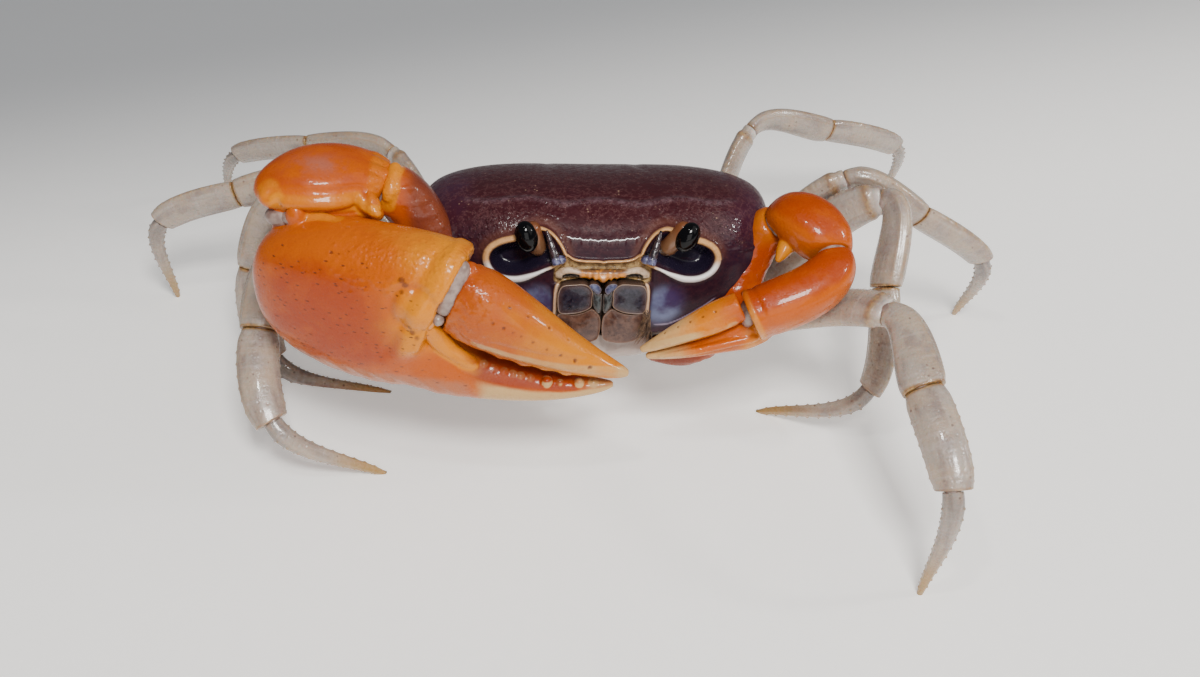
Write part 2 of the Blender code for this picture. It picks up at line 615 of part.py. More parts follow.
# The claws, over the floor in the body's pose, in millimetres. Each piece has its two ends, the
# directions it leaves and reaches them in, and rows of place, half thickness, rise and drop.
CLAWS = {
    "right": {
        "ischium": (((-6.3, -9.8, 9.1), (-10.6, -11.3, 10.6)), ((-0.9, -0.4, 0.1), (-0.8, -0.3, 0.5)),
                    [(0, 1.3, 1.4, 1.4), (0.5, 1.6, 1.6, 1.6), (1, 1.4, 1.4, 1.4)]),
        "merus": (((-9.6, -10.9, 10.0), (-19.0, -6.4, 26.0)), ((-0.75, -0.2, 0.6), (-0.85, 0.05, 0.42)),
                  [(0, 1.2, 1.3, 1.3), (0.15, 1.6, 1.7, 1.6), (0.5, 2.1, 2.1, 2.0), (0.8, 2.4, 2.5, 2.3),
                   (0.95, 2.4, 2.5, 2.3), (1, 2.1, 2.2, 2.0)]),
        "carpus": (((-19.0, -6.4, 26.0), (-30.0, -9.4, 26.9)), ((-0.85, 0.05, 0.42), (-0.85, -0.3, -0.3)),
                   [(0, 2.1, 2.1, 1.9), (0.12, 3.0, 2.2, 2.1), (0.35, 3.6, 2.35, 2.4), (0.6, 3.5, 2.3, 2.3),
                    (0.8, 2.6, 2.0, 1.9), (0.93, 1.6, 1.5, 1.5), (1, 0.7, 0.7, 0.7)]),
        "spine": ((-21.0, -8.4, 26.6), (-19.8, -10.0, 25.9), (-19.3, -11.1, 25.6)),
        "neck": ((-26.9, -10.4, 21.6), (-27.7, -9.2, 26.3)),
        "palm": (((-30.9, -10.2, 19.0), (-10.6, -16.6, 17.8)), ((0.95, -0.31, 0), (0.95, -0.31, 0)),
                 [(0, 0.8, 1.3, 1.3), (0.03, 2.2, 3.4, 3.4), (0.08, 3.1, 5.0, 5.0), (0.18, 3.9, 6.4, 6.6),
                  (0.35, 4.5, 7.6, 7.8), (0.55, 4.7, 8.1, 8.2), (0.75, 4.6, 8.4, 8.2), (0.92, 4.1, 8.4, 8.1),
                  (1.0, 3.6, 8.0, 7.8)]),
        "face": ((-14.4, -16.4, 17.5), (0.88, -0.286, -0.38)),
        "fixed": (((-20.5, -14.0, 15.1), (2.0, -18.3, 12.4)), ((0.95, -0.28, -0.17), (0.93, -0.05, 0.20)),
                  [(0, 2.8, 3.4, 3.4), (0.27, 3.4, 3.7, 3.6), (0.45, 2.9, 2.6, 2.7), (0.65, 2.1, 1.7, 1.8),
                   (0.85, 1.2, 0.95, 1.0), (0.96, 0.6, 0.5, 0.6), (1, 0.3, 0.25, 0.3)]),
        "finger": (((-12.6, -16.1, 21.3), (3.4, -18.3, 13.6)), ((0.88, -0.28, -0.38), (0.97, -0.05, -0.24)),
                   [(0, 2.7, 3.7, 3.5), (0.12, 3.0, 3.9, 3.5), (0.35, 2.7, 3.3, 2.9), (0.6, 2.0, 2.3, 1.9),
                    (0.85, 1.15, 1.2, 0.9), (0.96, 0.6, 0.65, 0.5), (1, 0.3, 0.35, 0.25)]),
        "teeth": [(0.50, 0.035, 0.35, 1), (0.58, 0.035, 0.45, 1), (0.66, 0.04, 0.35, 1),
                  (0.75, 0.045, 0.5, 1), (0.86, 0.04, 0.35, 1)],
        "finger_teeth": [(0.42, 0.05, 0.3, -1), (0.55, 0.05, 0.35, -1), (0.68, 0.05, 0.3, -1)],
    },
    "left": {
        "ischium": (((5.8, -9.4, 9.2), (10.4, -11.0, 10.4)), ((0.9, -0.4, 0.1), (0.85, -0.2, 0.45)),
                    [(0, 1.2, 1.3, 1.3), (0.5, 1.4, 1.4, 1.4), (1, 1.2, 1.2, 1.2)]),
        "merus": (((9.6, -10.8, 10.1), (17.6, -5.0, 21.0)), ((0.85, -0.25, 0.45), (0.6, -0.3, 0.74)),
                  [(0, 1.1, 1.2, 1.2), (0.15, 1.4, 1.5, 1.4), (0.5, 1.7, 1.8, 1.7), (0.8, 1.9, 2.0, 1.9),
                   (0.95, 1.9, 2.0, 1.9), (1, 1.6, 1.7, 1.6)]),
        "carpus": (((17.6, -5.0, 21.0), (22.2, -9.7, 20.5)), ((0.6, -0.3, 0.74), (0.15, -0.95, -0.3)),
                   [(0, 1.7, 1.7, 1.6), (0.2, 2.5, 2.4, 1.9), (0.5, 2.9, 2.7, 1.9), (0.8, 2.6, 2.4, 1.9),
                    (1, 1.9, 1.8, 1.7)]),
        "spine": ((18.6, -7.4, 20.8), (17.6, -8.9, 20.0), (17.2, -9.6, 19.7)),
        "neck": None,
        "palm": (((22.2, -9.7, 20.5), (12.6, -14.5, 16.4)), ((0.15, -0.95, -0.3), (-0.93, -0.2, -0.28)),
                 [(0, 1.8, 1.7, 1.7), (0.15, 2.2, 2.3, 2.1), (0.45, 2.4, 2.8, 2.5), (0.75, 2.3, 3.0, 2.8),
                  (1.0, 1.9, 2.8, 2.7)]),
        "face": ((14.6, -13.9, 16.9), (-0.90, -0.2, -0.37)),
        "fixed": (((17.0, -13.0, 15.6), (5.0, -15.6, 13.4)), ((-0.93, -0.2, -0.25), (-0.97, -0.1, -0.05)),
                  [(0, 1.2, 1.3, 1.4), (0.25, 1.6, 1.6, 1.6), (0.5, 1.2, 1.15, 1.15), (0.8, 0.7, 0.6, 0.6),
                   (1, 0.3, 0.25, 0.25)]),
        "finger": (((13.9, -14.0, 18.1), (4.5, -15.7, 14.2)), ((-0.90, -0.2, -0.37), (-0.93, -0.1, -0.35)),
                   [(0, 1.3, 1.45, 1.35), (0.25, 1.4, 1.5, 1.3), (0.6, 1.05, 1.1, 0.85),
                    (0.85, 0.65, 0.6, 0.5), (1, 0.3, 0.25, 0.25)]),
        "teeth": [(0.5, 0.05, 0.15, 1), (0.62, 0.05, 0.15, 1), (0.74, 0.05, 0.12, 1)],
        "finger_teeth": [],
    },
}


def claw_piece(side, part, sides, steps, gaps=(0, 0), grow=0, waves=(), fullness=2.3, bend=0.33, name=None):
    """One limb of a claw; gaps draw its ends back from the joints."""
    ends, ways, rows = CLAWS[side][part]
    ways = [Vector(way).normalized() for way in ways]
    start = mm(*ends[0]) + ways[0] * (gaps[0] - grow)
    end = mm(*ends[1]) - ways[1] * (gaps[1] - grow)
    sizes = [(row[0], *(value * MM + grow for value in row[1:])) for row in rows]
    teeth = [(place, half_width, height * MM, edge) for place, half_width, height, edge in waves]
    across = ways[0].cross(Vector((0, 0, 1)))
    return limb(name or part, (start, end), ways, across, sizes, sides, steps, bend, fullness, teeth)[0]


def claw_merus(side, grow=0):
    """Merus of a claw with the ischium that roots it beside the mouth."""
    merus = claw_piece(side, "merus", 12, 9, (0, GAP / 2), grow, name=f"cheliped_{side}_merus")
    ischium = claw_piece(side, "ischium", 10, 4, (0, 0), grow)
    carve(merus, [ischium], "UNION")
    return merus


def claw_palm(side, sides, steps, grow=0):
    """The palm, cut off slanting where the movable finger is hinged, with the fixed finger below."""
    name = f"cheliped_{side}_palm"
    palm = claw_piece(side, "palm", sides, steps, (GAP / 2, 0), grow, fullness=2.5, name=name)
    point, normal = CLAWS[side]["face"]
    slice_off(palm, mm(*point), Vector(normal))
    fixed = claw_piece(side, "fixed", 10, steps + 4, (0, 0), grow, CLAWS[side]["teeth"])
    tools = [fixed]
    if CLAWS[side]["neck"]:
        low, high = (mm(*point) for point in CLAWS[side]["neck"])
        high += (high - low).normalized() * grow
        radii = [size * MM + grow for size in (1.7, 1.6, 1.2)]
        tools.append(tube("neck", [low, low.lerp(high, 0.5), high], radii, 10))
    carve(palm, tools, "UNION")
    return palm


def make_claw(side, sides, steps):
    """Merus, carpus, palm and movable finger of one claw."""
    merus = claw_merus(side)
    palm = claw_palm(side, sides, steps)
    gaps = (GAP / 2, 0 if CLAWS[side]["neck"] else GAP / 2)
    carpus = claw_piece(side, "carpus", 14, 11, gaps, fullness=2.5, name=f"cheliped_{side}_carpus")
    foot, middle, tip = (mm(*point) for point in CLAWS[side]["spine"])
    carve(carpus, [tube("spine", [foot, middle, tip], [0.9 * MM, 0.65 * MM, 0.25 * MM])], "UNION")
    if CLAWS[side]["neck"]:
        carve(carpus, [claw_palm(side, sides, steps, GAP)], "DIFFERENCE")
        carve(palm, [claw_merus(side, GAP)], "DIFFERENCE")
    finger = claw_piece(side, "finger", 12, 12, (GAP, 0), waves=CLAWS[side]["finger_teeth"],
                        name=f"cheliped_{side}_finger")
    return merus, carpus, palm, finger


def antenna(name, front, sign):
    """A short feeler standing in the notch beside the front, on a round base."""
    row = ((4.35, 1.7), (4.5, 2.5), (4.9, 3.6), (5.1, 4.6))
    points = [front(sign * x * MM, z * MM) + mm(0, -0.85, 0) for x, z in row]
    return tube(name, points, [0.45 * MM, 0.4 * MM, 0.28 * MM, 0.25 * MM])


def build():
    """Make every node and set it in the body's frame or in the pose over the floor."""
    shell, front = make_carapace()
    finish(shell, "carapace", body)
    finish(make_sternum(), "underside", body)
    finish(pleon("pleon", 0), "underside", body)
    for side, sign in (("left", 1), ("right", -1)):
        finish(maxilliped(f"maxilliped_{side}", sign), "mouth", body)
        eyestalk = stalk(f"eyestalk_{side}", front, sign, 0)
        carve(eyestalk, [cornea("notch", front, sign, GAP, 6)], "DIFFERENCE")
        finish(eyestalk, "stalk", body)
        finish(cornea(f"cornea_{side}", front, sign, 0, 6), "cornea", body)
        finish(antenna(f"antenna_{side}", front, sign), "stalk", body)
        for number in range(1, 5):
            pieces = leg_pieces(side, number)
            slice_off(pieces[-1], Vector(), Vector((0, 0, -1)))
            for piece in pieces:
                finish(piece, "leg", stance)
        merus, carpus, palm, finger = make_claw(side, *((18, 17) if side == "right" else (12, 11)))
        for piece in (merus, carpus, palm):
            finish(piece, "claw", stance)
        finish(finger, "finger", stance)


parts = bpy.data.collections.new("freshwater_crab")
bpy.context.scene.collection.children.link(parts)
materials = make_materials()

stance = bpy.data.objects.new("stance", None)
stance.location = (-ORIGIN[0], -ORIGIN[1], 0)
parts.objects.link(stance)
body = bpy.data.objects.new("body", None)
pitch = Matrix.Rotation(math.radians(-BODY_PITCH), 4, "X")
yaw = Matrix.Rotation(math.radians(BODY_YAW), 4, "Z")
roll = Matrix.Rotation(math.radians(BODY_ROLL), 4, "Y")
body_place = Matrix.Translation((0, 0, BODY_HEIGHT)) @ yaw @ roll @ pitch
body.parent = stance
body.matrix_local = body_place
parts.objects.link(body)
build()
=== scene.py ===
# %% [markdown]
# # A freshwater crab with one large claw
#
# This lesson dresses a life-size crab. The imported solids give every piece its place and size, and the
# cells below make the fine shell that stands for each of them: first the tools, then body, face, claws
# and legs, and last floor, light and camera. All shapes are worked out in millimetres, and they become
# metres only when a mesh is made.

# %% The frame
import json
import math

import bpy
import numpy as np
from mathutils import Matrix, Vector
from mathutils.bvhtree import BVHTree
from mathutils.kdtree import KDTree

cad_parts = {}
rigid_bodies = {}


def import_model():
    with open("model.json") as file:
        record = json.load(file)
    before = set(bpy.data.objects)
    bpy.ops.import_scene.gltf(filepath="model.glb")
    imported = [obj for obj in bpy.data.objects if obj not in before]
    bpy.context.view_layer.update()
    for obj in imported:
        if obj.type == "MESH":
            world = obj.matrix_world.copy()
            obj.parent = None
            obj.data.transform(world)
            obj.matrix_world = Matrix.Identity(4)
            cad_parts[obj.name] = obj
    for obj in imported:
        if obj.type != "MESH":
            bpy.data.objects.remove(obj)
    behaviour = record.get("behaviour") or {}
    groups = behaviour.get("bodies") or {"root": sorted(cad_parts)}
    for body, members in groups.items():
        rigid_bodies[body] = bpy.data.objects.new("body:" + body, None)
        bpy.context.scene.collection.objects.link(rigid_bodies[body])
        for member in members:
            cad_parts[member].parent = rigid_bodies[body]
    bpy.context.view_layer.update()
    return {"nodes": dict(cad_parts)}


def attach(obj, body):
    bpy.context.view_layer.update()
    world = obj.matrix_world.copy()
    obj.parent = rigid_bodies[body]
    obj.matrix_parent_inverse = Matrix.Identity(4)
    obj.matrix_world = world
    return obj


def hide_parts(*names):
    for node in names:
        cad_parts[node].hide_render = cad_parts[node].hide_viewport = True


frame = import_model()
MM = 0.001
print("solids loaded:", len(frame["nodes"]))

# %% [markdown]
# ## Two places to work in
#
# The body leans: its front is raised and it rolls a little to one side. What belongs to it is described
# level, with its middle at the origin, and then turned into place as a whole. Claws and legs are
# described over the floor instead. Both places are one matrix each.

# %% Body and stance
BODY_HEIGHT = 14.0
BODY_PITCH, BODY_YAW, BODY_ROLL = 23, 4, 3.2
ORIGIN = (-2.955, -1.175)


def turn(degrees, axis, rows=4):
    return Matrix.Rotation(math.radians(degrees), rows, axis)


body_place = Matrix.Translation((0, 0, BODY_HEIGHT)) @ turn(BODY_YAW, "Z")
body_place = body_place @ turn(BODY_ROLL, "Y") @ turn(-BODY_PITCH, "X")
STANCE = Matrix.Translation((-ORIGIN[0], -ORIGIN[1], 0))
BODY = STANCE @ body_place


def placed(points, matrix):
    """Points of an array, moved and turned by a matrix."""
    table = np.array(matrix)
    return np.asarray(points, float) @ table[:3, :3].T + table[:3, 3]


print("middle of the body:", [round(value, 2) for value in BODY.translation])

# %% [markdown]
# ## Smooth values and soft steps
#
# Shell has no corners, so widths and heights are given at a few places and read off a smooth line
# through them. A Hermite curve does this with no overshoot to speak of. Two small shapes are used all
# over: a soft step from 0 to 1 and a bell that rises and falls round a middle.

# %% Curves and steps


def along(rows, places):
    """Values at many places on smooth lines through rows of place and values."""
    rows = np.array(rows, float)
    stops, values = rows[:, 0], rows[:, 1:]
    last = len(rows) - 1
    before = np.maximum(np.arange(last + 1) - 1, 0)
    after = np.minimum(np.arange(last + 1) + 1, last)
    slopes = (values[after] - values[before]) / (stops[after] - stops[before])[:, None]
    places = np.clip(np.asarray(places, float), stops[0], stops[-1])
    k = np.clip(np.searchsorted(stops, places, side="right") - 1, 0, last - 1)
    span = (stops[k + 1] - stops[k])[..., None]
    u = (places - stops[k])[..., None] / span
    return (
        (2 * u**3 - 3 * u**2 + 1) * values[k] + (u**3 - 2 * u**2 + u) * slopes[k] * span
        + (3 * u**2 - 2 * u**3) * values[k + 1] + (u**3 - u**2) * slopes[k + 1] * span
    )


def ramp(value, low, high):
    """0 below low, 1 above high and a soft step between."""
    u = np.clip((value - low) / (high - low), 0, 1)
    return u * u * (3 - 2 * u)


def bell(value, middle, width):
    """1 at the middle, falling off on both sides within about twice the width."""
    return np.exp(-(((value - middle) / width) ** 2))


def unit(rows):
    """Directions with a length of one."""
    return rows / np.linalg.norm(rows, axis=-1, keepdims=True)


def round_line(points, count):
    """Evenly numbered points on a smooth closed line through a few given ones."""
    points = np.array(points, float)
    place = np.arange(count) / count * len(points)
    return closed_at(points, place)


def closed_at(points, place):
    """Spots on a smooth closed line, by their place counted in given points."""
    total = len(points)
    k = np.floor(place).astype(int)
    u = (place - k)[:, None]
    a, b, c, d = (points[(k + shift) % total] for shift in (-1, 0, 1, 2))
    return b + (c - a) * u / 2 + (2 * a - 5 * b + 4 * c - d) * u**2 / 2 + (3 * b - a - 3 * c + d) * u**3 / 2


print("halfway up a soft step:", float(ramp(0.5, 0, 1)))

# %% [markdown]
# ## Shader sums written as Python
#
# A finish mixes masks and noises, and in nodes that becomes many small Math boxes. A wrapper that
# overloads the operators lets the sums be written as they are thought, and each sum still adds its own
# Math node. Every other node comes from one method: first its settings, then its sockets.

# %% Shader values


class Value:
    """A socket that takes part in sums."""

    def __init__(self, paint, socket):
        self.paint = paint
        self.socket = socket

    def sum(self, operation, first, second):
        return self.paint.node("ShaderNodeMath", {"operation": operation}, {0: first, 1: second})

    def __add__(self, other):
        return self.sum("ADD", self, other)

    def __radd__(self, other):
        return self.sum("ADD", other, self)

    def __sub__(self, other):
        return self.sum("SUBTRACT", self, other)

    def __rsub__(self, other):
        return self.sum("SUBTRACT", other, self)

    def __mul__(self, other):
        return self.sum("MULTIPLY", self, other)

    def __rmul__(self, other):
        return self.sum("MULTIPLY", other, self)


class Paint:
    """A finish in the making: its material, its nodes and its shader."""

    def __init__(self, name):
        self.material = bpy.data.materials.new(name)
        self.material.use_nodes = True
        self.tree = self.material.node_tree
        self.shader = self.tree.nodes["Principled BSDF"]
        self.place = self.node("ShaderNodeTexCoord", {}, {}, "Object")
        self.colour = None

    def node(self, kind, settings, sockets, output=0):
        made = self.tree.nodes.new(kind)
        for name, value in settings.items():
            setattr(made, name, value)
        for name, value in sockets.items():
            self.feed(made.inputs[name], value)
        return Value(self, made.outputs[output])

    def feed(self, socket, value):
        if isinstance(value, Value):
            self.tree.links.new(value.socket, socket)
        else:
            socket.default_value = value

    def paced(self, size):
        """The place on the object, counted in paces of size millimetres."""
        scale = (1 / (size * MM),) * 3
        return self.node("ShaderNodeMapping", {}, {"Vector": self.place, "Scale": scale})

    def noise(self, size, detail=3, roughness=0.55):
        """Cloudy noise whose patches are about size millimetres across."""
        sockets = {"Vector": self.paced(size), "Scale": 1.0, "Detail": detail, "Roughness": roughness}
        return self.node("ShaderNodeTexNoise", {}, sockets)

    def cells(self, size):
        """Distance to the nearest of many scattered dots, size millimetres apart."""
        return self.node("ShaderNodeTexVoronoi", {}, {"Vector": self.paced(size), "Scale": 1.0})

    def mask(self, name):
        """A mask that the modelling cells have stored on the mesh."""
        return self.node("ShaderNodeAttribute", {"attribute_name": name}, {}, "Fac")

    def step(self, value, low, high):
        """Soft step from 0 at low to 1 at high, also downwards."""
        sockets = {"Value": value, "From Min": low, "From Max": high}
        return self.node("ShaderNodeMapRange", {"interpolation_type": "SMOOTHSTEP"}, sockets)

    def mix(self, factor, first, second):
        """Mix of two colours, each a socket or red, green and blue."""
        pair = [item if isinstance(item, Value) else (*item, 1) for item in (first, second)]
        return self.node("ShaderNodeMix", {"data_type": "RGBA"}, {0: factor, 6: pair[0], 7: pair[1]}, 2)

    def cover(self, factor, colour):
        """Lays a colour over the finish so far, by a factor or by the mask of that name."""
        factor = self.mask(factor) if isinstance(factor, str) else factor
        self.colour = self.mix(factor, self.colour, colour)

    def finish(self, roughness, height=None, depth=0.05, constants=None):
        """Joins the colour, the roughness and a bump of so many millimetres to the shader."""
        self.feed(self.shader.inputs["Base Color"], self.colour)
        self.feed(self.shader.inputs["Roughness"], roughness)
        if height is not None:
            sockets = {"Height": height, "Distance": depth * MM, "Strength": 1.0}
            self.feed(self.shader.inputs["Normal"], self.node("ShaderNodeBump", {}, sockets))
        for name, value in (constants or {}).items():
            self.feed(self.shader.inputs[name], value)
        return self.material


print("finishes so far:", len(bpy.data.materials))

# %% [markdown]
# ## From a net of points to a piece
#
# Nearly every piece of shell is a net: rings of points one after another, closed at both ends. A net
# can be pushed in and out before it becomes a mesh, and the same sums that push it can be stored on it
# as masks, so that the white rim of an eye socket is painted exactly where it was raised.

# %% Meshes
made = {}
SIDES = {"left": 1, "right": -1}


def net_faces(rows, columns):
    """Four-sided faces of a tube of rings, and a fan to a pole at either end."""
    i, j = np.meshgrid(np.arange(rows - 1), np.arange(columns), indexing="ij")
    after = (j + 1) % columns
    quads = np.stack(
        [i * columns + j, i * columns + after, (i + 1) * columns + after, (i + 1) * columns + j], axis=-1)
    j = np.arange(columns)
    first = np.stack([(j + 1) % columns, j, np.full(columns, rows * columns)], axis=-1)
    base = (rows - 1) * columns
    last = np.stack([base + j, base + (j + 1) % columns, np.full(columns, rows * columns + 1)], axis=-1)
    return [tuple(face) for face in quads.reshape(-1, 4).tolist() + first.tolist() + last.tolist()]


def net_points(net):
    """The points of a net with the two poles after them."""
    return np.vstack([net.reshape(-1, 3), net[0].mean(0), net[-1].mean(0)])


def outwards(points, faces):
    """Faces of a closed mesh, turned over where its volume comes out negative."""
    points, volume = points - points.mean(0), 0.0
    for corner in (1, 2):
        chosen = [face for face in faces if len(face) > corner + 1]
        a, b, c = (points[[face[k] for face in chosen]] for k in (0, corner, corner + 1))
        volume += np.einsum("ij,ij->", a, np.cross(b, c))
    return [face[::-1] for face in faces] if volume < 0 else faces


def new_mesh(name, points, faces):
    mesh = bpy.data.meshes.new(name)
    mesh.from_pydata((points * MM).tolist(), [], faces)
    mesh.shade_smooth()
    return mesh


def new_object(name, data):
    made_object = bpy.data.objects.new(name, data)
    bpy.context.scene.collection.objects.link(made_object)
    return made_object


def store(mesh, masks):
    """Keep masks, one value for each vertex, as attributes that the finishes read."""
    for name, values in masks.items():
        attribute = mesh.attributes.new(name, "FLOAT", "POINT")
        attribute.data.foreach_set("value", np.asarray(values, np.float32).ravel())


def add_piece(name, mesh, material, nodes=()):
    """A piece of the crab: it rides on the solids and stands for the nodes it names."""
    piece = new_object(name, mesh)
    mesh.materials.append(material)
    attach(piece, "root")
    if nodes:
        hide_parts(*nodes)
    made[name] = piece
    return piece


def add_net(name, net, matrix, material, nodes=(), masks=None):
    """A piece made of one net; a mask has a value for each ring and column."""
    points = placed(net_points(net), matrix)
    mesh = new_mesh(name, points, outwards(points, net_faces(*net.shape[:2])))
    full = {}
    for mask, values in (masks or {}).items():
        values = np.broadcast_to(values, net.shape[:2])
        full[mask] = np.concatenate([values.ravel(), [values[0].mean(), values[-1].mean()]])
    store(mesh, full)
    return add_piece(name, mesh, material, nodes)


print("a tube of 10 rings of 8 has", len(net_faces(10, 8)), "faces")

# %% [markdown]
# ## Limbs
#
# A leg piece, a finger of the claw and a mouth plate are all the same kind of thing: an oval that
# changes its width and height along a bent line. The line is a cubic curve, so that a piece can leave
# its joint in the direction in which the last one arrived. The end rings are drawn in over a short way,
# which rounds the edge of the shell at the joint.

# %% Limbs
END_STEPS = ((0.35, 0.0), (0.8, 0.0), (0.94, 0.02))
END_DRAW = 0.08


class Limb:
    """A net round a bent line, with the place along it, the angle round it and the way out."""

    def __init__(self, ends, ways, side, sizes, steps, sides, bend=0.3, fullness=2.2):
        start, end = (np.array(point, float) for point in ends)
        ways = [np.array(way, float) / np.linalg.norm(way) for way in ways]
        length = np.linalg.norm(end - start)
        b, c = start + ways[0] * length * bend, end - ways[1] * length * bend
        t = np.linspace(0, 1, steps + 1)[:, None]
        s = 1 - t
        self.centre = start * s**3 + b * (3 * s * s * t) + c * (3 * s * t * t) + end * t**3
        way = (b - start) * s * s + (c - b) * (2 * s * t) + (end - c) * t * t
        self.way = unit(way)
        self.side = self.frames(Vector(side))
        self.up = np.cross(self.side, self.way)
        self.t = t[:, 0]
        self.angle = math.tau * (np.arange(sides) + 0.5) / sides
        cosine, sine = np.cos(self.angle), np.sin(self.angle)
        half, rise, drop = (column[:, None] for column in along(sizes, self.t).T)
        across = np.sign(cosine) * np.abs(cosine) ** (2 / fullness) * half
        height = np.sign(sine) * np.abs(sine) ** (2 / fullness) * np.where(sine > 0, rise, drop)
        self.out = self.side[:, None] * cosine[:, None] + self.up[:, None] * sine[:, None]
        sideways, upwards = self.side[:, None] * across[..., None], self.up[:, None] * height[..., None]
        self.net = self.centre[:, None] + sideways + upwards
        self.length = length

    def frames(self, side):
        """Carries the side direction along the line without twisting it."""
        rows = []
        last = Vector(self.way[0])
        side = (side - last * side.dot(last)).normalized()
        for row in self.way:
            way = Vector(row)
            side = last.rotation_difference(way) @ side
            side = (side - way * side.dot(way)).normalized()
            last = way
            rows.append(tuple(side))
        return np.array(rows)

    def push(self, height):
        """Raise the surface by a height for each ring and column."""
        self.net = self.net + self.out * np.broadcast_to(height, self.net.shape[:2])[..., None]
        return self

    def closed(self):
        """The net with its end rings drawn in and rounded."""
        first = [self.centre[0] + (self.net[0] - self.centre[0]) * share + self.way[0] * back
                 for share, back in END_STEPS]
        last = [self.centre[-1] + (self.net[-1] - self.centre[-1]) * share - self.way[-1] * back
                for share, back in reversed(END_STEPS)]
        shell = self.net.copy()
        shell[0] += self.way[0] * END_DRAW
        shell[-1] -= self.way[-1] * END_DRAW
        return np.concatenate([first, shell, last])

    def spread(self, values):
        """A mask with a value for each ring, repeated for the rings that close the ends."""
        values = np.broadcast_to(values, self.net.shape[:2])
        extra = len(END_STEPS)
        return np.concatenate([values[:1]] * extra + [values] + [values[-1:]] * extra)


def round_rows(radii):
    """Rows for a limb that is round all along, from radii at even places."""
    return [(t, size, size, size) for t, size in zip(np.linspace(0, 1, len(radii)), radii)]


print("a limb closes each end with", len(END_STEPS), "more rings")

# %% [markdown]
# ## The carapace
#
# The shell of the back is one broad vaulted plate, about a third wider than it is long. Its outline
# from the side is a closed line through a few points, and every slice to the left or right of the
# middle is the same line drawn in towards the body. How fast it draws in differs by direction: the back
# stays full almost to the flank, while the rear rounds off early. Two lines and four numbers
# keep it true to the solid that it stands for. The net is finest over the face,
# where the eye sockets and the mouth are pressed into it.

# %% Shell net
SHELL_WIDTH = 33.8
SHELL_MIDDLE = (-2.0, 1.3)
BELLY_CUT = -5.6
FULLNESS = {"front": 3.1, "top": 5.0, "rear": 1.9, "belly": 2.1, "tuck": 0.9}
SIDE_LINE = [
    (-12.5, 1.9), (-11.9, 4.4), (-10.1, 6.6), (-7.0, 7.8), (-2.0, 8.35), (3.0, 8.1), (8.0, 6.9),
    (12.0, 4.6), (13.9, 2.0), (13.6, -1.4), (11.4, -4.6), (6.0, -7.2), (0.0, -8.4), (-5.5, -8.6),
    (-9.2, -7.0), (-11.2, -3.2), (-12.1, 0.0),
]
FACE_REACH = 12.0
FACE_SLICES = 280
FLANK_SLICES = 44
FACE_ROWS = 230
BACK_ROWS = 170

side_stops = len(SIDE_LINE)
line_place = np.concatenate([
    np.linspace(-3, 3, FACE_ROWS, endpoint=False),
    np.linspace(3, side_stops - 3, BACK_ROWS, endpoint=False),
])
side_line = closed_at(np.array(SIDE_LINE), line_place % side_stops)
flank = np.sin(np.linspace(math.asin(FACE_REACH * 2 / SHELL_WIDTH), math.pi / 2, FLANK_SLICES + 1)[1:-1])
middle = np.linspace(-1, 1, FACE_SLICES) * FACE_REACH * 2 / SHELL_WIDTH
shares = np.concatenate([-flank[::-1], middle, flank])


def shell_net():
    """The vaulted body as slices from the right flank to the left."""
    away = side_line - SHELL_MIDDLE
    angle = np.arctan2(away[:, 1], away[:, 0])
    c, s = np.cos(angle), np.sin(angle)
    fullness = (
        FULLNESS["front"] * np.minimum(c, 0) ** 2 + FULLNESS["rear"] * np.maximum(c, 0) ** 2
        + FULLNESS["top"] * np.maximum(s, 0) ** 2 + FULLNESS["belly"] * np.minimum(s, 0) ** 2
        + FULLNESS["tuck"] * np.maximum(c, 0) * np.minimum(s, 0)
    )
    scale = (1 - np.abs(shares)[:, None] ** fullness) ** (1 / fullness)
    net = np.empty((len(shares), len(side_line), 3))
    net[..., 0] = (shares * SHELL_WIDTH / 2)[:, None]
    net[..., 1] = SHELL_MIDDLE[0] + away[:, 0] * scale
    net[..., 2] = np.maximum(SHELL_MIDDLE[1] + away[:, 1] * scale, BELLY_CUT)
    return net


shell = shell_net()
print("carapace net:", shell.shape[:2], "width", round(float(np.ptp(shell[..., 0])), 1), "mm")

# %% [markdown]
# ## Standing things on the face
#
# Eyes, feelers and the bar over the mouth stand on the face, so they ask the bare shell where its front
# is. A ray from the front answers for any point, and a piece can never float off or sink away.

# %% Front of the shell
shell_tree = BVHTree.FromPolygons(net_points(shell).tolist(), net_faces(*shell.shape[:2]))


def front(x, z):
    """The frontmost point of the bare shell at a given x and z."""
    hit = shell_tree.ray_cast(Vector((x, -40, z)), Vector((0, 1, 0)))[0]
    return np.array(hit)


print("front margin:", front(0, 1.9).round(2), " beside an eye:", front(8, 1.9).round(2))

# %% [markdown]
# ## Eye sockets
#
# Each socket is a deep pear-shaped hollow. Its broad outer end is where the eye folds down, and its
# narrow inner end holds the foot of the eyestalk. A raised rim runs all round, thick and bright white
# below, thinner and brown towards the front margin. The rim follows a drawn line: the signed distance
# of every point of the net from that line raises the rim, sinks the hollow and paints both.

# %% Socket line
SOCKET = [
    (10.75, 1.95), (10.25, 0.75), (9.1, 0.12), (7.7, 0.1), (6.4, 0.55), (5.3, 1.1), (4.35, 1.5),
    (3.6, 1.85), (3.5, 2.4), (3.8, 3.2), (4.4, 4.05), (5.1, 4.6), (5.95, 4.8), (6.9, 4.45), (8.0, 3.95),
    (9.3, 3.6), (10.35, 2.95),
]


